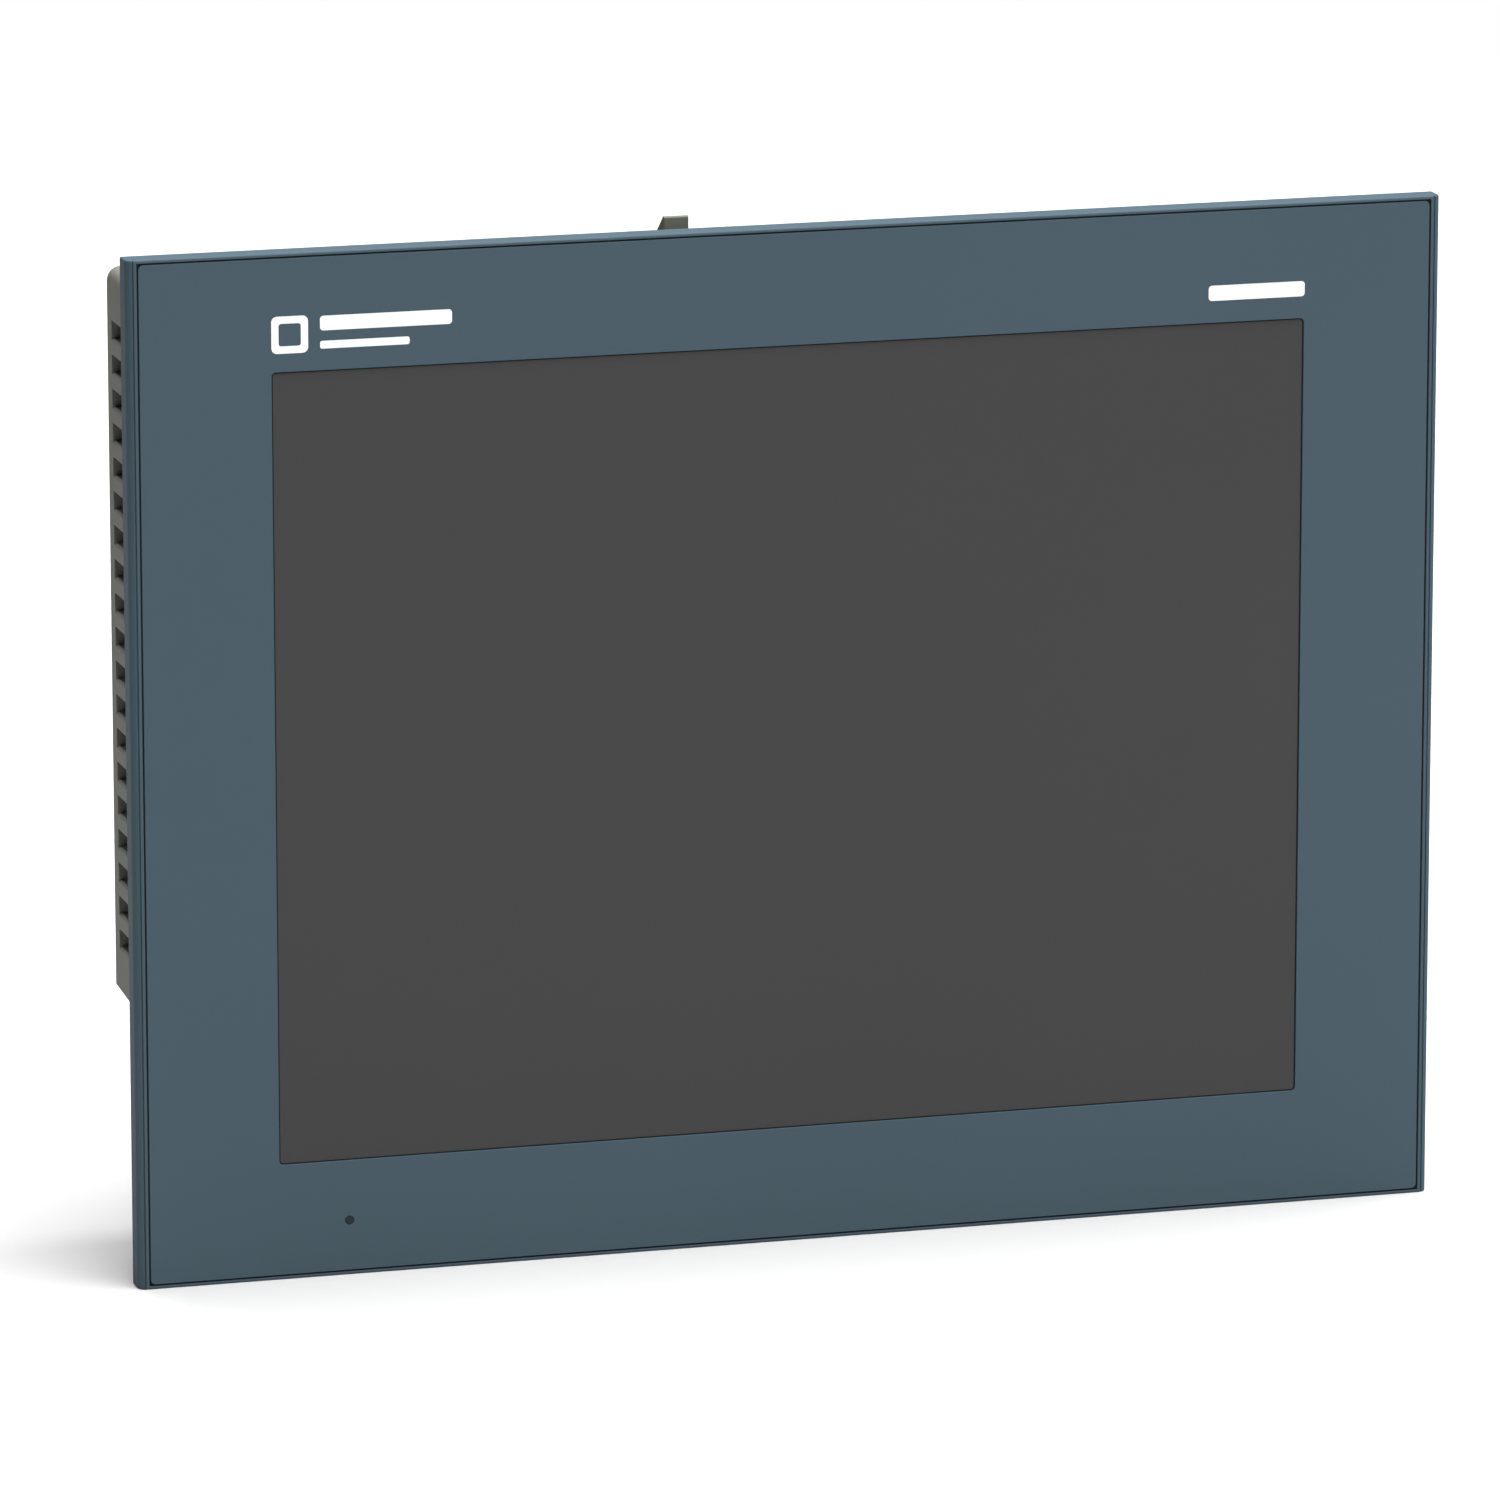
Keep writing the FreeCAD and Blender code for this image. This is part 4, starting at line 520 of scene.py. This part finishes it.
def overlay():
    """The printed film, a near-black sheet in the gap round it as painted shade, and a near-black
    strip along the edge of its window as a painted shadow line.
    """
    window = rounded_rectangle(*WINDOW, WINDOW_RADIUS)
    lamp_x, _, lamp_z = middle_of("status_light_pipe")
    lamp = circle_points((lamp_x, lamp_z), LAMP_RADIUS)
    outer = rounded_rectangle(*OVERLAY, OVERLAY_RADIUS)
    piece = sheet_piece("overlay_film", [(outer, [window, lamp])], FRONT + INK, OVERLAY_BACK,
                        MATERIALS["overlay"])
    soften(piece, 0.12)
    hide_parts("front_overlay")
    # a near-black ring at the floor of the gap round the film: painted shade
    clearance, overlap = 0.02, 2
    gap_outer = rounded_rectangle(POCKET[0] - clearance, POCKET[1] - clearance, 0.2)
    gap_inner = rounded_rectangle(OVERLAY[0] - overlap, OVERLAY[1] - overlap, OVERLAY_RADIUS)
    sheet_piece("overlay_gap_shade", [(gap_outer, [gap_inner])], OVERLAY_BACK - 0.012,
                OVERLAY_BACK, PAINTED_SHADE_BLACK)
    # a near-black strip round the screen window: a painted shadow line
    edge = 0.3
    edge_inner = rounded_rectangle(WINDOW[0] - 2 * edge, WINDOW[1] - 2 * edge,
                                   WINDOW_RADIUS - edge)
    sheet_piece("window_edge", [(window, [edge_inner])], OVERLAY_BACK - 0.03, OVERLAY_BACK,
                PAINTED_SHADE_BLACK)


def bar(left, low, width, height, radius):
    return rounded_rectangle(width, height, radius, (left + width / 2, low + height / 2), 6)


def front_marks():
    """Plain placeholder marks: a tile and two bars at the left, one bar at the right."""
    left, low = -123.9, 97.4
    tile, line = 8.6, 1.7
    opening = tile - 2 * line
    bars_left = left + 11.4
    right_width = 23.6
    right_left = 124.0 - right_width
    shapes = [(bar(left, low, tile, tile, 1.3),
               [bar(left + line, low + line, opening, opening, 0.6)]),
              (bar(bars_left, low + 4.9, 31, 3.4, 0.8), []),
              (bar(bars_left, low + 0.7, 21, 1.8, 0.5), []),
              (bar(right_left, 98.3, right_width, 3.6, 0.8), [])]
    sheet_piece("front_print", shapes, FRONT, FRONT + INK, WHITE_INK)


# ---------------------------------------------------------------- sockets

def host_middles():
    """Middles of the two universal serial host ports, which share one node."""
    low, high = box_mm("usb_host_ports")
    return low[0] + HOST_HALF, high[0] - HOST_HALF


def jack_contacts():
    """Eight gilt springs that slope across the front wall of each modular jack."""
    bends = ((0.0, 1.8), (0.5, 3.4), (3.1, 10.5), (2.9, 13.6))  # back from the wall, up
    for node in MODULAR_JACKS:
        low = box_mm(node)[0]
        wall, face = low[1] + 1.0, low[2]
        mesh_data = bmesh.new()
        for x in spaced(middle_of(node)[0], 8, 1.02):
            points = [(x, wall + back, face + up) for back, up in bends]
            for start, end in zip(points, points[1:]):
                add_bar(mesh_data, start, end, 0.17, 0.11)
        finish_mesh(f"{node}_contacts", mesh_data, GOLD, "panel")


def add_pin_sleeve(mesh_data, centre, tip, shoulder, top):
    """A round sleeve that points downwards, closed at the top."""
    radius, sides = 0.53, 14
    lower, upper = [[mesh_data.verts.new((x * MM, y * MM, z * MM))
                     for x, y in circle_points(centre, radius, sides)]
                    for z in (shoulder, top)]
    point = mesh_data.verts.new((centre[0] * MM, centre[1] * MM, tip * MM))
    join_rings(mesh_data, lower, upper)
    mesh_data.faces.new(upper)
    for index in range(sides):
        mesh_data.faces.new((lower[(index + 1) % sides], lower[index], point))


def serial_insert():
    """Black insulator inside the nine-pin shell, and gilt sleeves over its pins."""
    across, back = SERIAL_MIDDLE
    face = box_mm("serial_port")[0][2]
    inner = face + 6.7
    outline = [(-7.6, -3.4), (7.6, -3.4), (6.3, 3.4), (-6.3, 3.4)]
    insert = bmesh.new()
    add_prism(insert, *([(across + x, back + y, z) for x, y in outline]
                        for z in (inner - 0.8, inner)))
    finish_mesh("serial_port_insert", insert, MATERIALS["black_plastic"], "panel")
    pins = bmesh.new()
    for row, count in ((-1, 5), (1, 4)):
        for x in spaced(across, count, 2.76):
            add_pin_sleeve(pins, (x, back + row * 1.42), face + 0.25, face + 0.55, inner)
    finish_mesh("serial_port_pins", pins, GOLD, "panel", smooth=True)


def usb_contacts():
    """Contact strips on the tongues of the universal serial ports."""
    low, high, thick = -61.0, -54.6, 0.06
    device_middles = (middle_of("usb_device_port")[0],)
    for node, middles, count, pitch, width, tongue in (
            ("usb_host_ports", host_middles(), 4, 2.0, 0.9, 32.8),
            ("usb_device_port", device_middles, 5, 0.8, 0.4, 30.4)):
        mesh_data = bmesh.new()
        for middle in middles:
            for x in spaced(middle, count, pitch):
                add_box(mesh_data, (x - width / 2, tongue - thick, low),
                        (x + width / 2, tongue, high))
        finish_mesh(f"{node}_contacts", mesh_data, GOLD, "panel")


def port_lamps():
    """A green and an amber lamp beside each network socket."""
    half_width, from_middle, front, rear = 0.75, 6.95, 35.0, 37.6
    for node in NETWORK_JACKS:
        face = box_mm(node)[0][2]
        for name, side, material in (("link", -1, LAMP_GREEN), ("traffic", 1, LAMP_AMBER)):
            mesh_data = bmesh.new()
            x = middle_of(node)[0] + side * from_middle
            add_box(mesh_data, (x - half_width, front, face - 0.15),
                    (x + half_width, rear, face + 0.4))
            piece = finish_mesh(f"{node}_{name}_lamp", mesh_data, material, "panel")
            soften(piece, 0.15)


# ---------------------------------------------------------------- prints on the back

def strip(x, z, width, height):
    return rounded_rectangle(width, height, min(width, height) * 0.2, (x, z), 2)


def earth_symbol(x, z, scale):
    """The general earth sign: a stem over three bars that get shorter."""
    line = 0.35
    shapes = [(strip(x, z + 1.5 * scale, line * scale, 2.2 * scale), [])]
    for row, width in enumerate((3.4, 2.2, 1.0)):
        shapes.append((strip(x, z + (0.3 - row * 0.75) * scale, width * scale, line * scale), []))
    return shapes


def label_print():
    """Blank fields and rules on the rating label, with no lettering."""
    (left, _, bottom), (right, face, top) = box_mm("rating_label")
    x, _, z = middle_of("rating_label")
    margin, line = 1.2, 0.3
    frames = [rounded_rectangle(right - left - 2 * edge, top - bottom - 2 * edge, radius, (x, z))
              for edge, radius in ((margin, 1.0), (margin + line, 0.7))]
    shapes = [(frames[0], [frames[1]])]
    for row in range(5):
        row_z = top - 5.2 - row * 4.3
        shapes.append((strip(left + 14, row_z, 18, 1.0), []))
        shapes.append((strip(left + 41, row_z, 26 - 4 * (row % 3), 1.0), []))
    sheet_piece("rating_label_print", shapes, face, face + REAR_INK, DARK_INK)


def rear_symbols():
    """Earth and polarity signs beside the wiring points."""
    wall = box_mm("rating_label")[1][1]
    x, _, z = middle_of("earth_screw")
    sheet_piece("earth_sign", earth_symbol(x + 10, z, 1.1), wall, wall + REAR_INK, WHITE_INK)
    _, rear, top = box_mm("power_terminal_block")[1]
    middle = middle_of("power_terminal_block")[0]
    sign_z, pitch, length, line = top - 1.9, 8.2, 1.9, 0.4
    shapes = [(strip(middle - pitch, sign_z, length, line), []),
              (strip(middle - pitch, sign_z, line, length), []),
              (strip(middle, sign_z, length, line), [])]
    shapes += earth_symbol(middle + pitch, sign_z - 0.1, 0.5)
    sheet_piece("terminal_signs", shapes, rear, rear + REAR_INK, WHITE_INK)


def ring_mark(corners, width):
    """An outline of about the given width round the middle of the corners."""
    middle = (sum(x for x, z in corners) / len(corners), sum(z for x, z in corners) / len(corners))
    inner = []
    for x, z in corners:
        reach = math.hypot(x - middle[0], z - middle[1])
        share = 1 - width * 1.4 / reach
        inner.append((middle[0] + (x - middle[0]) * share, middle[1] + (z - middle[1]) * share))
    return corners, [inner]


def socket_marks():
    """Outline of each socket's shape on the underside behind it, with dots that number pairs."""
    marks = [(middle_of(node)[0], *sizes) for node, *sizes in (
        ("serial_port", 3.4, 2.6, 1.4, 0), ("serial_jack", 1.9, 1.9, 1.7, 0),
        ("lan_port_1", 1.9, 1.9, 1.7, 1), ("lan_port_2", 1.9, 1.9, 1.7, 2),
        ("usb_device_port", 1.7, 1.2, 0.9, 0), ("reset_button", 1.2, 1.2, 1.2, 0))]
    marks += [(x, 2.4, 2.4, 1.0, number) for number, x in enumerate(host_middles(), 1)]
    up = 15.6
    mesh_data = bmesh.new()
    for x, low_half, high_half, half_tall, dots in marks:
        corners = [(x - low_half, up - half_tall), (x + low_half, up - half_tall),
                   (x + high_half, up + half_tall), (x - high_half, up + half_tall)]
        add_sheet(mesh_data, *ring_mark(corners, 0.32), 0.0, REAR_INK)
        for number in range(dots):
            dot = circle_points((x + low_half + 1.4 + number * 1.3, up), 0.42, 12)
            add_sheet(mesh_data, dot, [], 0.0, REAR_INK)
    (front_y, front_z), (rear_y, rear_z) = UNDERSIDE
    slope = math.atan2(rear_z - front_z, rear_y - front_y)
    along = Vector((0, math.cos(slope), math.sin(slope)))
    outward = Vector((0, math.sin(slope), -math.cos(slope)))
    start = Vector((0, front_y * MM, front_z * MM))
    for vertex in mesh_data.verts:
        x, depth, rise = vertex.co
        vertex.co = start + Vector((x, 0, 0)) + along * rise + outward * depth
    finish_mesh("socket_marks", mesh_data, WHITE_INK, "panel")


# ---------------------------------------------------------------- moving details

def return_spring():
    """The hook's spring with closed end coils, drawn at one length between the shelf and the hook.
    """
    turns, closed, steps_a_turn, sides = 6.5, 1.0, 24, 8
    wire = 0.3 * MM
    low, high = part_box("hook_spring")
    centre = Vector(((low[0] + high[0]) / 2, (low[1] + high[1]) / 2, 0))
    radius = (high[0] - low[0]) / 2 - wire
    bottom, top = low[2] + wire, high[2] - wire
    closed_pitch = 2 * wire
    open_pitch = (top - bottom - 2 * closed * closed_pitch) / (turns - 2 * closed)
    mesh_data = bmesh.new()
    rings = []
    steps = int(turns * steps_a_turn)
    for step in range(steps + 1):
        turn = turns * step / steps
        height = bottom + min(turn, closed) * closed_pitch
        height += max(0.0, min(turn, turns - closed) - closed) * open_pitch
        height += max(0.0, turn - (turns - closed)) * closed_pitch
        outward = Vector((math.cos(math.tau * turn), math.sin(math.tau * turn), 0))
        middle = centre + outward * radius + Vector((0, 0, height))
        ring = []
        for side in range(sides):
            around = math.tau * side / sides
            offset = outward * math.cos(around) + Vector((0, 0, 1)) * math.sin(around)
            ring.append(mesh_data.verts.new(middle + offset * wire))
        rings.append(ring)
    for lower, upper in zip(rings, rings[1:]):
        join_rings(mesh_data, lower, upper)
    mesh_data.faces.new(rings[0])
    mesh_data.faces.new(reversed(rings[-1]))
    piece = finish_mesh("hook_return_spring", mesh_data, MATERIALS["spring_steel"], None,
                        smooth=True)
    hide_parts("hook_spring")
    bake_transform(piece)


def door_grip():
    """Ridges beside the fingertip hollow of the card door."""
    low, high = box_mm("card_door")
    middle = middle_of("card_door")[2]
    root, crest = high[0] - 0.1, high[0] + 0.28
    half_length = 5.5
    mesh_data = bmesh.new()
    for number in range(4):
        y = low[1] + 3.4 + number * 1.3
        section = [(root, y - 0.4), (crest, y - 0.15), (crest, y + 0.15), (root, y + 0.4)]
        add_prism(mesh_data, *([(x, at, middle + end * half_length) for x, at in section]
                               for end in (-1, 1)))
    finish_mesh("card_door_grip", mesh_data, MATERIALS["housing"], "card_door")


# ---------------------------------------------------------------- circuit board

def board_obstacles():
    """Search trees of everything that stands on the rear face of the board."""
    trees = []
    covers = ("rear_cover", "expansion_cover")
    for name, piece in NODES.items():
        if name in covers or box_mm(name)[1][1] < BOARD_REAR + 0.2:
            continue
        points = [piece.matrix_world @ vertex.co for vertex in piece.data.vertices]
        faces = [tuple(face.vertices) for face in piece.data.polygons]
        trees.append(BVHTree.FromPolygons(points, faces))
    return trees


def is_free(trees, x, z, half_x, half_z):
    """Whether nothing stands on the board over this rectangle, in millimetres."""
    start_y = 48
    reach = start_y - BOARD_REAR - 0.05
    for a in (-1, 0, 1):
        for b in (-1, 0, 1):
            start = Vector((x + a * half_x, start_y, z + b * half_z)) * MM
            for tree in trees:
                if tree.ray_cast(start, Vector((0, -1, 0)), reach * MM)[0] is not None:
                    return False
    return True


def add_package(meshes, x, z, along_x):
    """A small leaded package with its legs on the two long sides."""
    length, width = (5.0, 4.0) if along_x else (4.0, 5.0)
    half_leg, out = (0.2, 0.5), 0.45
    add_box(meshes["chip"], (x - length / 2, BOARD_REAR + 0.15, z - width / 2),
            (x + length / 2, BOARD_REAR + 1.6, z + width / 2), 0.15)
    for side in (-1, 1):
        for at in spaced(0, 4, 1.27):
            if along_x:
                leg_x, leg_z, half = x + at, z + side * (width / 2 + out), half_leg
            else:
                leg_x, leg_z, half = x + side * (length / 2 + out), z + at, half_leg[::-1]
            add_box(meshes["tin"], (leg_x - half[0], BOARD_REAR, leg_z - half[1]),
                    (leg_x + half[0], BOARD_REAR + 0.3, leg_z + half[1]), 0.05)


def add_passive(meshes, kind, x, z, along_x):
    """A chip capacitor or resistor with its soldered ends."""
    long_half, short_half = 0.8, 0.42
    height = 0.8 if kind == "capacitor" else 0.5
    half = (long_half, short_half) if along_x else (short_half, long_half)
    add_box(meshes[kind], (x - half[0] + 0.1, BOARD_REAR, z - half[1]),
            (x + half[0] - 0.1, BOARD_REAR + height, z + half[1]), 0.04)
    end_half = (0.2, short_half + 0.03) if along_x else (short_half + 0.03, 0.2)
    for side in (-1, 1):
        shift = side * (long_half - 0.12)
        end_x, end_z = (x + shift, z) if along_x else (x, z + shift)
        add_box(meshes["tin"], (end_x - end_half[0], BOARD_REAR, end_z - end_half[1]),
                (end_x + end_half[0], BOARD_REAR + height + 0.02, end_z + end_half[1]), 0.05)


def surface_parts():
    """Rows of small soldered parts on the free areas of the main board."""
    groups, leaded_every, pitch = 150, 9, 1.9
    leaded_reach, passive_reach = 3.4, 1.2
    edge = 4
    chance = random.Random(20)
    low, high = box_mm("main_board")
    trees = board_obstacles()
    meshes = {kind: bmesh.new() for kind in ("chip", "tin", "capacitor", "resistor")}
    taken = []
    for group in range(groups):
        x = chance.uniform(low[0] + 6, high[0] - 6)
        z = chance.uniform(low[2] + 5, high[2] - 5)
        along_x = chance.random() < 0.5
        leaded = group % leaded_every == 0
        count = 1 if leaded else chance.randint(2, 7)
        kind = chance.choice(("capacitor", "resistor"))
        reach = leaded_reach if leaded else passive_reach
        for number in range(count):
            at_x = x if along_x else x + number * pitch
            at_z = z + number * pitch if along_x else z
            clear = all(abs(at_x - other_x) > reach + other_reach
                        or abs(at_z - other_z) > reach + other_reach
                        for other_x, other_z, other_reach in taken)
            inside = abs(at_x) < high[0] - edge and low[2] + edge < at_z < high[2] - edge
            if not (clear and inside and is_free(trees, at_x, at_z, reach, reach)):
                continue
            taken.append((at_x, at_z, leaded_reach if leaded else 0))
            if leaded:
                add_package(meshes, at_x, at_z, along_x)
            else:
                add_passive(meshes, kind, at_x, at_z, along_x)
    looks = {"chip": (MATERIALS["chip"], "chip"), "tin": (MATERIALS["can"], "can"),
             "capacitor": (CERAMIC, "ferrite"), "resistor": (MATERIALS["chip"], "chip")}
    for kind, (material, slot) in looks.items():
        finish_mesh(f"surface_{kind}", meshes[kind], material, "panel")


def islands(piece):
    """Boxes, in millimetres, of the separate solids of a CAD node."""
    mesh_data = bmesh.new()
    mesh_data.from_mesh(piece.data)
    bmesh.ops.remove_doubles(mesh_data, verts=mesh_data.verts, dist=1e-6)
    waiting = set(mesh_data.verts)
    boxes = []
    while waiting:
        group = [waiting.pop()]
        for vertex in group:
            for edge in vertex.link_edges:
                other = edge.other_vert(vertex)
                if other in waiting:
                    waiting.discard(other)
                    group.append(other)
        points = [piece.matrix_world @ vertex.co for vertex in group]
        boxes.append(tuple(tuple(pick(point[axis] for point in points) / MM for axis in range(3))
                           for pick in (min, max)))
    mesh_data.free()
    return sorted(boxes)


def memory_leads():
    """Fine legs along both ends of the memory chips."""
    pitch, half_x, half_z, out = 0.65, 0.38, 0.12, 0.35
    mesh_data = bmesh.new()
    for low, high in islands(NODES["memory_chips"]):
        for x in (low[0] - out, high[0] + out):
            for z in spaced((low[2] + high[2]) / 2, int((high[2] - low[2]) / pitch), pitch):
                add_box(mesh_data, (x - half_x, BOARD_REAR, z - half_z),
                        (x + half_x, BOARD_REAR + 0.22, z + half_z), 0.03)
    finish_mesh("memory_leads", mesh_data, MATERIALS["can"], "panel")


# ---------------------------------------------------------------- CAD nodes

def dress_nodes():
    """Give every CAD node the finish of its slot."""
    slots = {entry["node"]: entry["material_slot"] for entry in frame["record"]["subparts"]}
    for name, piece in NODES.items():
        material = MATERIALS[slots[name]]
        if not piece.material_slots:
            piece.data.materials.append(material)
        for holder in piece.material_slots:
            holder.material = material


# ---------------------------------------------------------------- stage

def stage_floor():
    mesh_data = bmesh.new()
    level = CAD_BOX[0][2]
    (left, front), (right, rear) = FLOOR_LOW, FLOOR_HIGH
    for x, y in ((left, front), (right, front), (right, rear), (left, rear)):
        mesh_data.verts.new((x, y, level))
    mesh_data.faces.new(mesh_data.verts)
    mesh = bpy.data.meshes.new("floor")
    mesh_data.to_mesh(mesh)
    mesh_data.free()
    floor = bpy.data.objects.new("floor", mesh)
    bpy.context.scene.collection.objects.link(floor)
    material, _ = new_material("floor_paper", (0.50, 0.50, 0.50), 0.9, 0.1)
    mesh.materials.append(material)


def area_light(name, place_at, target, size, energy):
    data = bpy.data.lights.new(name, "AREA")
    data.shape = "RECTANGLE"
    data.size, data.size_y = size
    data.energy = energy
    lamp = bpy.data.objects.new(name, data)
    lamp.location = place_at
    aim = Vector(target) - Vector(place_at)
    lamp.rotation_euler = aim.to_track_quat("-Z", "Y").to_euler()
    bpy.context.scene.collection.objects.link(lamp)


def surround():
    """A weak white light from all round, which the camera sees as plain white."""
    world = bpy.data.worlds.new("studio")
    world.use_nodes = True
    nodes = world.node_tree.nodes
    glow = nodes["Background"]
    pale = nodes.new("ShaderNodeBackground")
    for background, strength in ((glow, SURROUND_LIGHT), (pale, 1.0)):
        background.inputs["Color"].default_value = (1, 1, 1, 1)
        background.inputs["Strength"].default_value = strength
    rays = nodes.new("ShaderNodeLightPath")
    choice = nodes.new("ShaderNodeMixShader")
    links = world.node_tree.links
    links.new(rays.outputs["Is Camera Ray"], choice.inputs["Fac"])
    links.new(glow.outputs["Background"], choice.inputs[1])
    links.new(pale.outputs["Background"], choice.inputs[2])
    links.new(choice.outputs["Shader"], nodes["World Output"].inputs["Surface"])
    bpy.context.scene.world = world


def camera():
    data = bpy.data.cameras.new("camera")
    data.sensor_width = 36
    data.lens = CAMERA_LENS
    data.clip_start = 0.05
    data.clip_end = 40
    view = bpy.data.objects.new("camera", data)
    view.location = CAMERA_PLACE
    view.rotation_euler = Vector(CAMERA_AIM).to_track_quat("-Z", "Y").to_euler()
    bpy.context.scene.collection.objects.link(view)
    bpy.context.scene.camera = view
    bpy.context.scene.view_settings.view_transform = "Standard"


dress_nodes()
overlay()
front_marks()
jack_contacts()
serial_insert()
usb_contacts()
port_lamps()
label_print()
rear_symbols()
door_grip()
socket_marks()
return_spring()
surface_parts()
memory_leads()
stage_floor()
for light in AREA_LIGHTS:
    area_light(*light)
surround()
camera()
